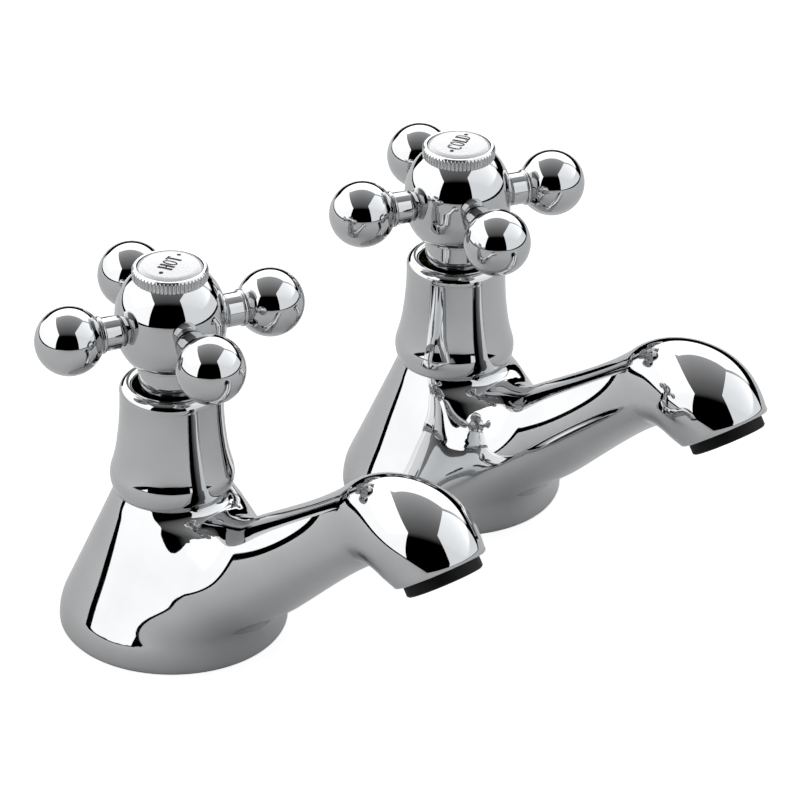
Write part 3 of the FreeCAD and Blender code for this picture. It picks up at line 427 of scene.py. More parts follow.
class Spine:
    """The spout's centre line in (y, z), for many points at once."""

    def __init__(self):
        nose = OUTLET - OUTLET_WAY * NOSE_RUN
        way_in = (ROOT - SPINE_START) / np.linalg.norm(ROOT - SPINE_START)
        way_up = (nose - ROOT) / np.linalg.norm(nose - ROOT)
        self.runs = []
        self.length = 0.0
        self.add_line(SPINE_START, ROOT - way_in * ROOT_RUN)
        self.add_bend(ROOT, way_in, way_up, ROOT_RUN)
        self.add_line(ROOT + way_up * ROOT_RUN, nose - way_up * NOSE_RUN)
        self.add_bend(nose, way_up, OUTLET_WAY, NOSE_RUN)

    def add_line(self, start, end):
        length = np.linalg.norm(end - start)
        self.runs.append(("line", start, (end - start) / length, length, self.length))
        self.length += length

    def add_bend(self, corner, way_in, way_out, run):
        turn = math.acos(float(way_in @ way_out))
        hand = math.copysign(1.0, way_in[0] * way_out[1] - way_in[1] * way_out[0])
        radius = run / math.tan(turn / 2)
        start = corner - way_in * run
        centre = start + hand * radius * np.array([-way_in[1], way_in[0]])
        first = math.atan2(*(start - centre)[::-1])
        self.runs.append(("bend", centre, radius, first, hand * turn, self.length))
        self.length += radius * turn

    def nearest(self, points):
        """Distance to the nearest spine point, its distance along the spine, and the rise above it."""
        best = np.full(len(points), np.inf)
        along, above = np.zeros(len(points)), np.zeros(len(points))
        for run in self.runs:
            if run[0] == "line":
                _, start, way, length, offset = run
                share = np.clip((points - start) @ way, 0, length)
                foot = start + share[:, None] * way
                where = offset + share
            else:
                _, centre, radius, first, turn, offset = run
                arms = points - centre
                angle = np.arctan2(arms[:, 1], arms[:, 0])
                swept = (angle - first) * np.sign(turn)
                swept = (swept + math.pi) % (2 * math.pi) - math.pi
                swept = np.clip(swept, 0, abs(turn))
                angle = first + np.sign(turn) * swept
                foot = centre + radius * np.stack([np.cos(angle), np.sin(angle)], axis=1)
                where = offset + radius * swept
            gap = np.linalg.norm(points - foot, axis=1)
            closer = gap < best
            best[closer], along[closer] = gap[closer], where[closer]
            above[closer] = (points - foot)[closer, 1]
        return best, along, above

    def at(self, distance):
        """Place and way of the spine at a distance along it."""
        for run in self.runs:
            if run[0] == "line":
                _, start, way, length, offset = run
                if distance <= offset + length:
                    return start + way * (distance - offset), way
            else:
                _, centre, radius, first, turn, offset = run
                swept = min(distance - offset, radius * abs(turn))
                if distance <= offset + radius * abs(turn) or run is self.runs[-1]:
                    angle = first + math.copysign(swept / radius, turn)
                    way = np.array([-math.sin(angle), math.cos(angle)]) * math.copysign(1.0, turn)
                    return centre + radius * np.array([math.cos(angle), math.sin(angle)]), way


def natural_spline(shares, values, count=4000):
    """A smooth run through the stations, as a dense table."""
    shares, values = np.array(shares), np.array(values)
    steps = np.diff(shares)
    size = len(shares)
    matrix, right = np.eye(size), np.zeros(size)
    for index in range(1, size - 1):
        step_in, step_out = steps[index - 1], steps[index]
        matrix[index, index - 1:index + 2] = step_in, 2 * (step_in + step_out), step_out
        right[index] = 6 * ((values[index + 1] - values[index]) / step_out
                            - (values[index] - values[index - 1]) / step_in)
    bends = np.linalg.solve(matrix, right)
    fine = np.linspace(shares[0], shares[-1], count)
    index = np.clip(np.searchsorted(shares, fine, side="right") - 1, 0, size - 2)
    step = steps[index]
    after, before = fine - shares[index], shares[index + 1] - fine
    table = ((bends[index] * before ** 3 + bends[index + 1] * after ** 3) / (6 * step)
             + (values[index] / step - bends[index] * step / 6) * before
             + (values[index + 1] / step - bends[index + 1] * step / 6) * after)
    return fine, table


def flare_radius(height):
    """Foot roll, upper roll and cone of the flare."""
    lower, upper = (centre + np.sqrt(np.maximum(radius ** 2 - (height - ROLL_HEIGHT) ** 2, 0))
                    for centre, radius in (LOWER_ROLL, UPPER_ROLL))
    cone = CONE_RADIUS - (height - CONE_START) * CONE_FALL / CONE_RISE
    return np.where(height < ROLL_HEIGHT, lower, np.where(height < CONE_START, upper, cone))


def fade(values, low, high):
    """Rises from 0 at low to 1 at high, with no jump in its slope or bend."""
    share = np.clip((values - low) / (high - low), 0, 1)
    return share ** 3 * (10 - 15 * share + 6 * share * share)


SPOUT = Spine()
RADIUS_SHARES, RADIUS_TABLE = natural_spline(STATIONS, STATION_RADII)


def body_field(points):
    """Roughly the signed distance to the casting: the drawn-out flare and the spout, softly joined."""
    x, y, z = points[:, 0], points[:, 1], points[:, 2]
    drawn = STRETCH * fade(z, *STRETCH_IN) * (1 - fade(z, *STRETCH_OUT))
    y_drawn = y + drawn * (np.sqrt(y * y + STRETCH_SOFTNESS) - y) / 2
    flare = np.maximum((np.hypot(x, y_drawn) - flare_radius(z)) * CONE_COSINE, z - FLARE_TOP)
    gap, along, above = SPOUT.nearest(points[:, 1:])
    share = along / SPOUT.length
    reach = np.interp(share, RADIUS_SHARES, RADIUS_TABLE)
    lean = LEAN * fade(share, *LEAN_IN) * (1 - fade(share, *LEAN_OUT))
    spout = np.hypot(x * (1 + lean * (LEAN_BIAS + np.clip(above / reach, -1, 1))), gap) - reach
    near = np.maximum(BLEND - np.abs(flare - spout), 0) / BLEND
    held = fade(-y, *BLEND_FRONT) * fade(-z, *BLEND_BELOW)
    return np.minimum(flare, spout) - near ** 3 * BLEND / 6 * held


def field_slope(points, step=0.02):
    slope = np.empty_like(points)
    for axis in range(3):
        offset = np.zeros(3)
        offset[axis] = step
        slope[:, axis] = (body_field(points + offset) - body_field(points - offset)) / (2 * step)
    return slope


def field_normals(points):
    slope = field_slope(points)
    return slope / np.linalg.norm(slope, axis=1)[:, None]


def settle(points, rounds=4, keep=None):
    """Moves points onto the surface. keep is a direction in which they don't move."""
    for _ in range(rounds):
        slope = field_slope(points)
        if keep is not None:
            slope -= (slope @ keep)[:, None] * keep
        points = points - (body_field(points) / np.maximum((slope * slope).sum(1), 1e-6))[:, None] * slope
    return points


def surface_net(low, high, cell):
    """A quad mesh of the field's zero surface from a grid of samples."""
    axes = [np.arange(low[axis], high[axis] + cell, cell) for axis in range(3)]
    shape = [len(axis) for axis in axes]
    grid = np.stack(np.meshgrid(*axes, indexing="ij"), -1).reshape(-1, 3)
    values = body_field(grid).reshape(shape)
    inside = values < 0
    cells = [count - 1 for count in shape]
    total = np.zeros(cells + [3])
    hits = np.zeros(cells)
    corners = [(i, j, k) for i in (0, 1) for j in (0, 1) for k in (0, 1)]
    for first in corners:
        for axis in range(3):
            if first[axis]:
                continue
            second = tuple(first[a] + (1 if a == axis else 0) for a in range(3))
            cut_a = tuple(slice(first[a], first[a] + cells[a]) for a in range(3))
            cut_b = tuple(slice(second[a], second[a] + cells[a]) for a in range(3))
            a, b = values[cut_a], values[cut_b]
            crossed = inside[cut_a] != inside[cut_b]
            share = np.where(crossed, a / np.where(crossed, a - b, 1), 0)
            for part in range(3):
                total[..., part] += np.where(crossed, first[part] + (share if part == axis else 0), 0)
            hits += crossed
    used = hits > 0
    number = np.full(cells, -1)
    number[used] = np.arange(used.sum())
    base = np.stack(np.nonzero(used), 1)
    places = np.array(low) + (base + total[used] / hits[used][:, None]) * cell
    faces = []
    for axis in range(3):
        one, two = (axis + 1) % 3, (axis + 2) % 3
        front = [slice(None)] * 3
        back = [slice(None)] * 3
        front[axis], back[axis] = slice(0, -1), slice(1, None)
        crossed = inside[tuple(front)] != inside[tuple(back)]
        spots = np.stack(np.nonzero(crossed), 1)
        has_cells = ((spots[:, one] > 0) & (spots[:, two] > 0)
                     & (spots[:, one] < cells[one]) & (spots[:, two] < cells[two]))
        spots = spots[has_cells]
        outward = inside[tuple(front)][tuple(spots.T)]
        rings = []
        for step_one, step_two in ((0, 0), (1, 0), (1, 1), (0, 1)):
            place = spots.copy()
            place[:, one] -= step_one
            place[:, two] -= step_two
            rings.append(number[tuple(place.T)])
        quads = np.stack(rings, 1)
        quads[~outward] = quads[~outward][:, ::-1]
        faces.append(quads)
    return places, np.concatenate(faces)


def boundary_loops(mesh):
    """Ordered rim vertices of each opening."""
    uses = {}
    for face in mesh.polygons:
        for key in face.edge_keys:
            uses[key] = uses.get(key, 0) + 1
    ways = {}
    for (a, b), count in uses.items():
        if count == 1:
            ways.setdefault(a, []).append(b)
            ways.setdefault(b, []).append(a)
    loops, seen = [], set()
    for start in ways:
        if start in seen:
            continue
        loop, before, here = [start], None, start
        while True:
            seen.add(here)
            onward = [vertex for vertex in ways[here] if vertex != before and vertex not in seen]
            if not onward:
                break
            before, here = here, onward[0]
            loop.append(here)
        loops.append(loop)
    return loops


def rim_skirt(name, loop, ways, centre, samples):
    """A surface from a rim on the casting through turned rows. ways are across, sideways and along."""
    across, side, along = ways
    arms = loop - centre
    angles = np.arctan2(arms @ side, arms @ across)
    places = [tuple(place) for place in loop]
    normals = list(field_normals(np.array(loop)))
    for place, way in samples:
        out, up = way[1], -way[0]
        for angle in angles:
            spoke = across * math.cos(angle) + side * math.sin(angle)
            places.append(tuple(centre + spoke * place[0] + along * place[1]))
            normals.append(spoke * out + along * up)
    faces = ring_faces(len(samples) + 1, len(loop))
    one, two, three = (np.array(places[corner]) for corner in faces[0][:3])
    if np.cross(two - one, three - one) @ normals[0] < 0:
        faces = [face[::-1] for face in faces]
    return make_object(name, places, faces, normals)


def casting_skin():
    """The casting's outside as one smooth net."""
    places, faces = surface_net(NET_LOW, NET_HIGH, NET_CELL)
    places = settle(places)
    return make_object("casting", places, [tuple(map(int, face)) for face in faces], field_normals(places))


def cut_away(thing, point, normal, belongs):
    """Removes what lies on the side that the normal points to, among the faces whose corners all belong."""
    net = bmesh.new()
    net.from_mesh(thing.data)
    faces = [face for face in net.faces if all(belongs(*(corner.co / MM)) for corner in face.verts)]
    edges = {edge for face in faces for edge in face.edges}
    corners = {corner for face in faces for corner in face.verts}
    bmesh.ops.bisect_plane(net, geom=list(corners) + list(edges) + faces, dist=1e-7,
                           plane_co=Vector(point) * MM, plane_no=normal, clear_outer=True)
    bmesh.ops.remove_doubles(net, verts=net.verts[:], dist=2e-6)
    net.to_mesh(thing.data)
    net.free()


def read_places(thing):
    places = np.empty(len(thing.data.vertices) * 3)
    thing.data.vertices.foreach_get("co", places)
    return places.reshape(-1, 3) / MM


def write_places(thing, places):
    thing.data.vertices.foreach_set("co", (places * MM).ravel())
    thing.data.normals_split_custom_set_from_vertices(field_normals(places).tolist())
    thing.data.update()


def waterway_tube():
    """The inside of the spout, seen through the nozzle."""
    rows, count = 60, 64
    start, spare, radius = 9.0, 5.0, 6.2
    places = []
    for row in range(rows):
        centre, way = SPOUT.at(start + (SPOUT.length - spare - start) * row / (rows - 1))
        side = np.array([0.0, -way[1], way[0]])
        for column in range(count):
            angle = 2 * math.pi * column / count
            spoke = np.array([math.cos(angle), 0, 0]) + side * math.sin(angle)
            places.append(np.array([0.0, *centre]) + spoke * radius)
    faces = [(one, four, three, two) for one, two, three, four in ring_faces(rows, count)]
    return make_object("waterway", places, faces)


# The tail: its pipe thread runs out towards the foot, and its upper run is a step wider
PITCH = 1.814
ROWS_PER_PITCH = 10
THREAD_DEPTH = 1.16
THREAD_END = (3.5, 6.5)
THREAD_ROUNDNESS = 0.8
TAIL_RADIUS = 13.22
TAIL_STEP = 0.18
TAIL_STEP_AT = (-19.2, -18.0)
TAIL_LENGTH = 45.0
TAIL_TIP_RADIUS = 12.02


def thread_skin():
    """The tail's pipe thread, running out below the foot."""
    count = 120
    angles = np.linspace(0, 2 * math.pi, count, endpoint=False)
    heights = np.arange(-TAIL_LENGTH, 0.1, PITCH / ROWS_PER_PITCH)
    heights[-1] = 0.0
    places = []
    for height in heights:
        crest = TAIL_RADIUS + TAIL_STEP * float(fade(height, *TAIL_STEP_AT))
        depth = THREAD_DEPTH * float(fade(-height, *THREAD_END))
        phase = 2 * math.pi * (height / PITCH - angles / (2 * math.pi))
        radii = crest - depth * (0.5 - 0.5 * np.cos(phase)) ** THREAD_ROUNDNESS
        radii = np.minimum(radii, TAIL_TIP_RADIUS + height + TAIL_LENGTH)
        places += [(radius * math.cos(angle), radius * math.sin(angle), height)
                   for angle, radius in zip(angles, radii)]
    return make_object("thread", places, ring_faces(len(heights), count))


def valve_way():
    """The tail's bore, the seat and the valve chamber, as one turned inner wall."""
    return turned("valve_way", [
        (12.2, 44.0), (10.5, 44.0), (10.5, 14.5), (8.0, 14.5), (8.0, 15.5), (6.25, 15.5), (6.25, 12.5),
        (8.2, 10.0), (8.2, -1.0), (8.5, -1.0), (8.5, -TAIL_LENGTH), (TAIL_TIP_RADIUS, -TAIL_LENGTH)],
        96, 0.2, closed=False)


def casting():
    """The whole casting: its net, cut at three planes, then the turned faces and the inner walls."""
    skin = casting_skin()
    outlet = np.array([0.0, *OUTLET])
    along = np.array([0.0, *OUTLET_WAY])
    lip_plane = outlet - along * LIP_CUT
    cut_away(skin, lip_plane, along, lambda x, y, z: y < LIP_ZONE[0] and z > LIP_ZONE[1])
    cut_away(skin, (0, 0, FOOT_CUT), (0, 0, -1), lambda x, y, z: z < FOOT_ZONE)
    cut_away(skin, (0, 0, TOP_CUT), (0, 0, 1),
             lambda x, y, z: math.hypot(x, y) < TOP_ZONE[0] and z > TOP_ZONE[1])
    places = read_places(skin)
    upwards = np.array([0.0, 0.0, 1.0])
    off_axis = np.hypot(places[:, 0], places[:, 1])
    planes = [
        (np.abs(places[:, 2] - FOOT_CUT) < ON_PLANE, upwards),
        ((np.abs(places[:, 2] - TOP_CUT) < ON_PLANE) & (off_axis < TOP_ZONE[0]), upwards),
        ((np.abs((places - lip_plane) @ along) < ON_PLANE) & (places[:, 1] < LIP_ZONE[0]), along),
    ]
    for chosen, keep in planes:
        places[chosen] = settle(places[chosen], keep=keep)
    write_places(skin, places)
    parts = [skin, waterway_tube(), thread_skin(), valve_way()]
    across = np.array([1.0, 0.0, 0.0])
    upright = (across, np.array([0.0, 1.0, 0.0]), upwards)
    for loop in boundary_loops(skin.data):
        rim = places[loop]
        if np.abs(rim[:, 2] - FOOT_CUT).max() < NEAR_PLANE:
            samples = outline([
                (27.4, FOOT_CUT, -LOWER_ROLL[1]), (26.9, 0.0), (23.5, 0.0), (23.5, 3.0), (15.0, 3.0),
                (15.0, 0.0), (13.0, 0.0)], 0.2, closed=False)[1:]
            samples = [(place, -way) for place, way in samples]
            parts.append(rim_skirt("foot_part", rim, upright, np.zeros(3), samples))
        elif np.abs(rim[:, 2] - TOP_CUT).max() < NEAR_PLANE:
            samples = outline([
                (13.685, TOP_CUT), (13.6, 36.5), (12.2, 36.5), (12.2, 44.0)], 0.1, closed=False)[1:]
            parts.append(rim_skirt("shoulder_part", rim, upright, np.zeros(3), samples))
        elif np.abs((rim - lip_plane) @ along).max() < NEAR_PLANE:
            wide = float(np.linalg.norm(rim - lip_plane, axis=1).mean())
            samples = outline([
                (wide, -LIP_CUT), (STATION_RADII[-1], 0.0, None, 0.95), (8.25, 0.0), (8.25, -5.0),
                (6.3, -5.0), (6.2, -9.0)], 0.25, closed=False)[1:]
            ways = (across, np.cross(along, across), along)
            parts.append(rim_skirt("lip_part", rim, ways, outlet, samples))
        else:
            raise RuntimeError("the casting has an opening that no skirt closes")
    return joined("casting_whole", parts)


def copied(thing, name, x):
    """A copy of a mesh object, moved sideways in its mesh."""
    return moved(linked(name, thing.data.copy()), Matrix.Translation((x, 0, 0)))


# Turned pieces

def shroud(name):
    return turned(name, [
        (12.25, 36.5), (13.9, 36.5, 7.16), (14.45, 42.0, -40.0), (13.11, 48.0, -89.4), (12.2, 61.5, 2.33),
        (10.6, 64.3, 1.456), (9.0, 63.2), (9.0, 62.3), (10.6, 62.3), (11.3, 60.6), (12.25, 44.8)], 256, 0.18)


def hub(name):
    return turned(name, [
        (5.2, 62.0), (7.7, 62.0), (7.7, 70.7), (9.9, 70.7), (9.9, 71.6), (10.6, 71.6, 13.01), (13.05, 79.2),
        (13.05, 81.9, 13.21), (8.7, 91.7), (6.6, 91.7), (6.6, 77.5), (2.2, 77.5), (2.2, 65.0),
        (5.2, 65.0)], 256, 0.2)


ARM_HEIGHT = 80.0


def arm():
    return turned("arm", [
        (0.0, 7.4), (2.0, 7.4), (2.0, 12.5), (3.2, 12.5, 0.54), (3.2, 13.4), (4.0, 13.4), (4.0, 17.02),
        (4.2, 17.02, 0.54), (4.2, 17.922), (4.0, 17.922, 8.13), (0.0, 33.13)], 96, 0.1, closed=False)


def arms(name, angle):
    """Four arms with their balls, the first one turned from +X by angle degrees."""
    pieces = []
    for index in range(4):
        aim = Matrix.Rotation(math.radians(angle + 90 * index), 4, "Z")
        turn = aim @ Matrix.Rotation(math.pi / 2, 4, "Y")
        turn.translation = (0, 0, ARM_HEIGHT)
        pieces.append(moved(arm(), turn))
    return joined(name, pieces)


# The bezel's knurl: its ribs, the height and radius where they begin, and their low radius and depth
KNURLS = 56
KNURL_LOW = 91.65
KNURL_INNER = 7.9
KNURL_RADIUS = 8.55
KNURL_DEPTH = 0.35
KNURL_ROUNDNESS = 2.4


def knurl_radius(radius, height, angles):
    if height < KNURL_LOW or radius < KNURL_INNER:
        return np.full(len(angles), radius)
    share = (angles * KNURLS / (2 * math.pi)) % 1.0
    rib = KNURL_RADIUS + KNURL_DEPTH * (1 - np.abs(2 * share - 1) ** KNURL_ROUNDNESS)
    return np.minimum(radius, rib)


def bezel(name):
    points = [(5.4, 86.0), (6.5, 86.0), (6.5, 91.7), (8.3, 91.7), (8.9, 91.75), (8.9, 93.9), (8.8, 94.02),
              (8.7, 94.14), (8.6, 94.26), (8.5, 94.38), (8.4, 94.5), (7.85, 94.5), (7.85, 92.6), (5.4, 92.6)]
    places, faces, _ = turned_skin(outline(points, 0.04), KNURLS * 10, knurl_radius)
    thing = make_object(name, places, faces)
    thing.data.set_sharp_from_angle(angle=math.radians(35))
    return thing


# The disc's crowned face: its top, its arc's radius, and where the rounded edge begins
CROWN_TOP = 95.32
CROWN_ARC = 56.9
CROWN_EDGE = 6.3


def dome_height(radius):
    """Height of the disc's crowned face."""
    return CROWN_TOP - CROWN_ARC + math.sqrt(CROWN_ARC * CROWN_ARC - radius * radius)


def disc(name):
    return turned(name, [
        (0.0, 92.6), (7.7, 92.6), (7.7, 94.1, 1.697), (CROWN_EDGE, dome_height(CROWN_EDGE), CROWN_ARC),
        (0.0, CROWN_TOP)], 200, 0.05, closed=False)


def nozzle(name):
    ring = turned(name, [
        (7.0, -2.8), (8.8, -2.8), (9.2, -2.4), (9.2, 0.0), (8.2, 0.0), (8.2, 5.0), (7.0, 5.0)], 160, 0.15)
    turn = Matrix.Rotation(-TILT, 4, "X")
    turn.translation = (0, OUTLET[0], OUTLET[1])
    return moved(ring, turn)


# Generic words on the discs, in millimetres

THICK, THIN = 0.62, 0.34
SERIF = 0.32
LETTER_GAP = 0.16
DOT_PLACE, DOT_RADIUS = 4.87, 0.5
STROKE_STEP = 0.4
ENAMEL = 0.022


def bar(start, end, width):
    """A straight stroke as four corners."""
    start, end = np.array(start, float), np.array(end, float)
    way = (end - start) / np.linalg.norm(end - start)
    side = np.array([-way[1], way[0]]) * width / 2
    return [start + side, start - side, end - side, end + side]


def bowl(centre, outer, inner, first, last, steps=28):
    """Part of a ring as a run of four-cornered pieces."""
    pieces = []
    turns = np.linspace(math.radians(first), math.radians(last), steps + 1)
    for turn, after in zip(turns, turns[1:]):
        pieces.append([
            np.array([centre[0] + reach[0] * math.cos(angle), centre[1] + reach[1] * math.sin(angle)])
            for angle, reach in ((turn, outer), (after, outer), (after, inner), (turn, inner))])
    return pieces


def stem(x, tall):
    """An upright stroke with slab serifs."""
    return [bar((x, 0), (x, tall), THICK), bar((x - SERIF, THIN / 2), (x + SERIF, THIN / 2), THIN),
            bar((x - SERIF, tall - THIN / 2), (x + SERIF, tall - THIN / 2), THIN)]


def letter(sign, tall):
    """Strokes and width of one letter whose lower left corner is at zero."""
    if sign == "H":
        return stem(0.36, tall) + stem(1.44, tall) + [bar((0.36, tall / 2), (1.44, tall / 2), THIN)], 1.8
    if sign == "O":
        return bowl((0.82, tall / 2), (0.82, tall / 2), (0.42, tall / 2 - THIN), 0, 360), 1.64
    if sign == "T":
        return [bar((0.8, 0), (0.8, tall), THICK), bar((0.45, THIN / 2), (1.15, THIN / 2), THIN),
                bar((0.0, tall - THIN / 2), (1.6, tall - THIN / 2), THIN),
                bar((0.1, tall - 0.7), (0.1, tall), 0.2), bar((1.5, tall - 0.7), (1.5, tall), 0.2)], 1.6
    if sign == "C":
        return bowl((0.85, tall / 2), (0.85, tall / 2), (0.44, tall / 2 - THIN), 48, 312) + [
            bar((1.42, tall - 0.9), (1.42, tall - 0.1), 0.22), bar((1.4, 0.35), (1.4, 0.75), 0.2)], 1.53
    if sign == "L":
        return [bar((0.36, 0), (0.36, tall), THICK),
                bar((0.04, tall - THIN / 2), (0.68, tall - THIN / 2), THIN),
                bar((0.04, THIN / 2), (1.45, THIN / 2), THIN), bar((1.38, 0), (1.38, 0.8), 0.2)], 1.48
    if sign == "D":
        return [bar((0.36, 0), (0.36, tall), THICK), bar((0.04, THIN / 2), (0.8, THIN / 2), THIN),
                bar((0.04, tall - THIN / 2), (0.8, tall - THIN / 2), THIN)] + bowl(
                    (0.75, tall / 2), (0.95, tall / 2), (0.52, tall / 2 - THIN), -90, 90), 1.72
    raise ValueError("no such letter: " + sign)


def dot(x):
    return bowl((x, 0.0), (DOT_RADIUS, DOT_RADIUS), (0.0, 0.0), 0, 360, 20)


def stroke_quads(mark):
    """A four-cornered mark cut across its length, so that it follows the dome."""
    a, b, c, d = mark
    steps = max(int(max(np.linalg.norm(c - b), np.linalg.norm(b - a)) / STROKE_STEP), 1)
    long_side = np.linalg.norm(c - b) >= np.linalg.norm(b - a)
    for step in range(steps):
        low, high = step / steps, (step + 1) / steps
        if long_side:
            yield a + (d - a) * low, b + (c - b) * low, b + (c - b) * high, a + (d - a) * high
        else:
            yield a + (b - a) * low, a + (b - a) * high, d + (c - d) * high, d + (c - d) * low


def words(name, text, wide, tall, direction, x):
    """The word and its two dots as thin enamel on the dome."""
    strokes, pen = [], 0.0
    for sign in text:
        marks, width = letter(sign, tall)
        strokes += [[corner + np.array([pen, 0]) for corner in mark] for mark in marks]
        pen += width + LETTER_GAP
    total = pen - LETTER_GAP
    strokes = [[np.array([(corner[0] - total / 2) * wide / total, corner[1] - tall / 2]) for corner in mark]
               for mark in strokes]
    strokes += dot(DOT_PLACE) + dot(-DOT_PLACE)
    angle = math.radians(direction)
    across = np.array([math.cos(angle), math.sin(angle)])
    up = np.array([-math.sin(angle), math.cos(angle)])
    places, faces = [], []
    for mark in strokes:
        for quad in stroke_quads(mark):
            start = len(places)
            for corner in quad:
                flat = across * corner[0] + up * corner[1]
                places.append((flat[0] + x, flat[1], dome_height(float(np.linalg.norm(flat))) + ENAMEL))
            faces.append((start, start + 1, start + 2, start + 3))
    thing = make_object(name, places, faces)
    net = bmesh.new()
    net.from_mesh(thing.data)
    bmesh.ops.remove_doubles(net, verts=net.verts[:], dist=1e-7)
    for face in net.faces:
        if face.normal.z < 0:
            face.normal_flip()
    net.to_mesh(thing.data)
    net.free()
    return thing


# Fitting the pieces to the frame

KEPT = {
    "base_gasket": FOAM, "deck_washer": FIBRE, "back_nut": BRASS, "headwork_washer": FIBRE,
    "headwork": BRASS, "thrust_washer": NYLON, "spindle": BRASS, "spindle_o_rings": RUBBER,
    "circlip": STEEL, "valve_carrier": BRASS, "tap_washer": RUBBER, "washer_nut": BRASS,
    "handle_screw": STEEL,
}

# Each word's width, height and direction in degrees
WORD_SIZES = {"hot": (6.3, 3.7, 23.5), "cold": (7.8, 3.7, 24.5)}

BODY = casting()
for tap, x, angle in TAPS:
    aside = Matrix.Translation((x, 0, 0))
    handle = tap + "_handle"
    fit_piece(copied(BODY, tap + "_casting", x), "taps", "chrome", CHROME, tap + "_body")
    fit_piece(moved(nozzle(tap + "_nozzle_ring"), aside), "taps", "black_plastic", BLACK,
              tap + "_outlet_nozzle")
    fit_piece(moved(shroud(tap + "_shroud_shell"), aside), "taps", "chrome", CHROME, tap + "_shroud")
    fit_piece(moved(hub(tap + "_hub_ball"), aside), handle, "chrome", CHROME, tap + "_handle_hub")
    fit_piece(moved(arms(tap + "_four_arms", angle), aside), handle, "chrome", CHROME, tap + "_handle_arms")
    fit_piece(moved(bezel(tap + "_knurled_bezel"), aside), handle, "chrome", CHROME, tap + "_index_bezel")
    fit_piece(moved(disc(tap + "_disc"), aside), handle, "ceramic", CERAMIC, tap + "_index_disc")
    fit_piece(words(tap + "_word", tap.upper(), *WORD_SIZES[tap], x), handle, "black_plastic", INK)
    for node, material in KEPT.items():
        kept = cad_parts[tap + "_" + node]
        for slot in kept.material_slots:
            slot.material = material
bpy.data.objects.remove(BODY)


# Studio

# The studio's front, on the camera's side, as an angle in plan in degrees
FRONT = -133.8
STAGE_ROUGHNESS = 0.9


def panel(name, azimuth, distance, width, low, high, radiance, color=(1, 1, 1)):
    """A soft light panel that stands upright and faces the taps."""
    light = bpy.data.lights.new(name, "AREA")
    light.shape = "RECTANGLE"
    light.size, light.size_y = width, high - low
    light.energy = radiance * math.pi * width * (high - low)
    light.color = color
    thing = linked(name, light)
    turn = math.radians(azimuth)
    back = Vector((math.cos(turn), math.sin(turn), 0))
    up = Vector((0, 0, 1))
    rows = (up.cross(back), up, back)
    matrix = Matrix(rows).transposed().to_4x4()
    matrix.translation = (distance * back.x, distance * back.y, (low + high) / 2)
    thing.matrix_world = matrix
    thing.visible_camera = False


def plain_material(name, grey, glow=0.0):
    material, shader = new_material(name, (grey, grey, grey), STAGE_ROUGHNESS)
    if glow:
        shader.inputs["Emission Color"].default_value = (1, 1, 1, 1)
        shader.inputs["Emission Strength"].default_value = glow
    return material


def plane(name, left, right, front, back, height, material):
    places = [(left, front, height), (right, front, height), (right, back, height), (left, back, height)]
    mesh = bpy.data.meshes.new(name)
    mesh.from_pydata(places, [], [(0, 1, 2, 3)])
    thing = linked(name, mesh)
    dress(thing, material)
    return thing


def dome(name, radius, material):
    net = bmesh.new()
    bmesh.ops.create_icosphere(net, subdivisions=4, radius=radius)
    mesh = bpy.data.meshes.new(name)
    net.to_mesh(mesh)
    net.free()
    thing = linked(name, mesh)
    dress(thing, material)
    return thing


# The ceiling's brightness over its ramp, from the camera's side to the far side
CEILING = (
    (0.00, 0.0), (0.03, 0.04), (0.06, 0.10), (0.12, 0.16), (0.18, 0.22), (0.24, 0.31), (0.31, 0.42),
    (0.38, 0.54), (0.45, 0.72), (0.52, 0.92), (0.62, 1.12), (0.75, 1.24), (1.00, 1.26))
CEILING_START = 1.02
CEILING_SPAN = 4.0
CEILING_PEAK = 2.0
CEILING_BLUE = 1.01
LEAST_RISE = 0.02
WALL_TOP = (0.24, 0.30)


def world_light():
    """A pale ceiling that grows brighter away from the camera, over dark walls."""
    world = bpy.data.worlds.new("studio")
    bpy.context.scene.world = world
    world.use_nodes = True
    nodes, links = world.node_tree.nodes, world.node_tree.links

    def maths(kind, first, second):
        node = nodes.new("ShaderNodeMath")
        node.operation = kind
        for socket, source in zip(node.inputs, (first, second)):
            if isinstance(source, (int, float)):
                socket.default_value = source
            else:
                links.new(source, socket)
        return node.outputs[0]

    split = nodes.new("ShaderNodeSeparateXYZ")
    links.new(nodes.new("ShaderNodeTexCoord").outputs["Generated"], split.inputs["Vector"])
    x, y, z = (split.outputs[name] for name in "XYZ")
    front = math.radians(FRONT)
    forward = maths("ADD", maths("MULTIPLY", x, math.cos(front)), maths("MULTIPLY", y, math.sin(front)))
    height = maths("MAXIMUM", z, LEAST_RISE)
    place = maths("DIVIDE", maths("SUBTRACT", CEILING_START, maths("DIVIDE", forward, height)), CEILING_SPAN)
    ramp = nodes.new("ShaderNodeValToRGB")
    stops = ramp.color_ramp.elements
    while len(stops) < len(CEILING):
        stops.new(0.5)
    for stop, (where, bright) in zip(stops, CEILING):
        stop.position = where
        share = bright / CEILING_PEAK
        stop.color = (share, share, share * CEILING_BLUE, 1)
    links.new(place, ramp.inputs["Fac"])
    open_sky = nodes.new("ShaderNodeMapRange")
    open_sky.inputs["From Min"].default_value = WALL_TOP[0]
    open_sky.inputs["From Max"].default_value = WALL_TOP[1]
    links.new(z, open_sky.inputs["Value"])
    links.new(ramp.outputs["Color"], nodes["Background"].inputs["Color"])
    strength = maths("MULTIPLY", open_sky.outputs["Result"], CEILING_PEAK)
    links.new(strength, nodes["Background"].inputs["Strength"])


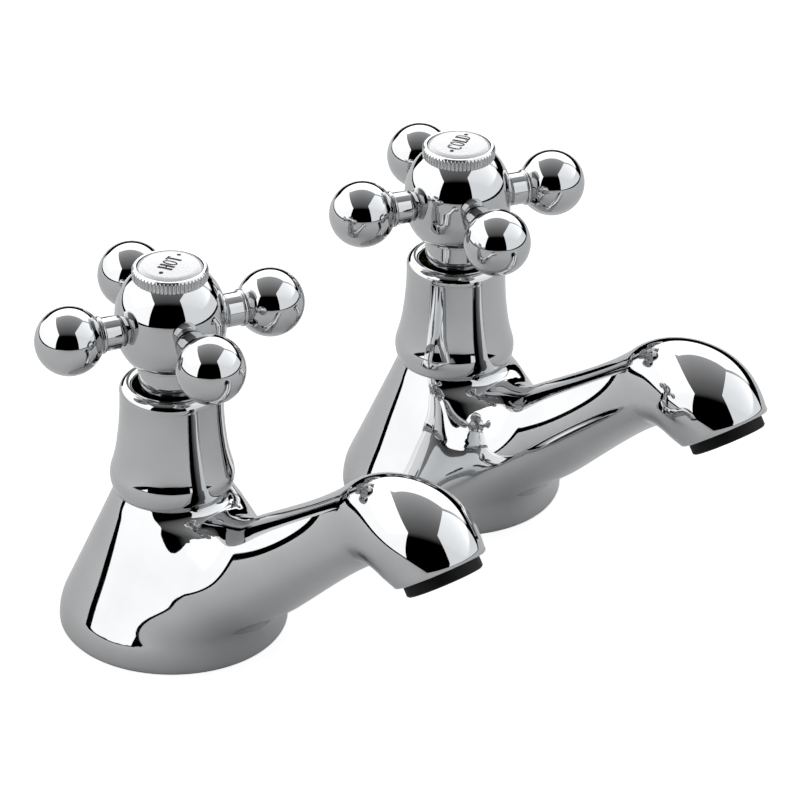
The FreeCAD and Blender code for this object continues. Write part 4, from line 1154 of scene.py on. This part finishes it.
def studio():
    """Softboxes, ceiling, the table that the chrome mirrors, and the white that the camera sees."""
    near = 1.2
    left_width = 2 * near * math.tan(math.radians(49))
    right_width = 2 * near * math.tan(math.radians(44))
    panel("left_softbox", 135.2, near, left_width, low=0.03, high=1.65, radiance=1.75)
    panel("right_softbox", -57.8, near, right_width, low=0.03, high=2.2, radiance=1.25,
          color=(0.96, 0.98, 1))
    panel("back_softbox", 41.0, 1.6, width=3.6, low=0.58, high=2.77, radiance=1.3)
    world_light()
    table = plane("table", -0.75, 0.75, -2.2, 0.9, -0.00005, plain_material("pale_table", 0.62))
    table.matrix_world = Matrix.Rotation(math.radians(FRONT + 90), 4, "Z")
    table.visible_camera = False
    table.visible_shadow = False
    floor = plane("floor", -9, 9, -9, 9, -0.0002, plain_material("pale_floor", 0.92, glow=0.9))
    backdrop = dome("backdrop", 9.0, plain_material("pale_backdrop", 0.9, glow=1.0))
    for thing in (floor, backdrop):
        thing.visible_glossy = False
        thing.visible_diffuse = False
        thing.visible_transmission = False
        thing.visible_shadow = False


# The photograph's camera: its angles, its focal length in pixels, its depth before the hot hub in
# millimetres, the hub's place in the frame in pixels and in the model in millimetres
AZIMUTH, RISE, ROLL = math.radians(-44.5), math.radians(29.38), math.radians(0.95)
FOCAL = 4580.0
HUB_DEPTH = 1062.0
HUB_PIXEL = (170.65, 321.5)
HUB_PLACE = Vector((-46.8, 0, 79.97))
PICTURE = 800
SENSOR = 36.0


def photo_camera():
    azimuth, rise, roll = AZIMUTH, RISE, ROLL
    back = Vector((math.sin(azimuth) * math.cos(rise), -math.cos(azimuth) * math.cos(rise), math.sin(rise)))
    right = Vector((math.cos(azimuth), math.sin(azimuth), 0))
    up = back.cross(right)
    rows = (right * math.cos(roll) + up * math.sin(roll), up * math.cos(roll) - right * math.sin(roll), back)
    middle = PICTURE / 2
    shift = Vector(((HUB_PIXEL[0] - middle) / FOCAL * HUB_DEPTH,
                    -(HUB_PIXEL[1] - middle) / FOCAL * HUB_DEPTH, -HUB_DEPTH))
    turn = Matrix(rows).transposed()
    camera = bpy.data.cameras.new("camera")
    camera.sensor_width = SENSOR
    camera.lens = FOCAL / PICTURE * SENSOR
    camera.clip_start, camera.clip_end = 0.05, 60.0
    thing = linked("camera", camera)
    matrix = turn.to_4x4()
    matrix.translation = (HUB_PLACE - turn @ shift) * MM
    thing.matrix_world = matrix
    bpy.context.scene.camera = thing


bpy.context.scene.view_settings.view_transform = "Standard"
studio()
photo_camera()
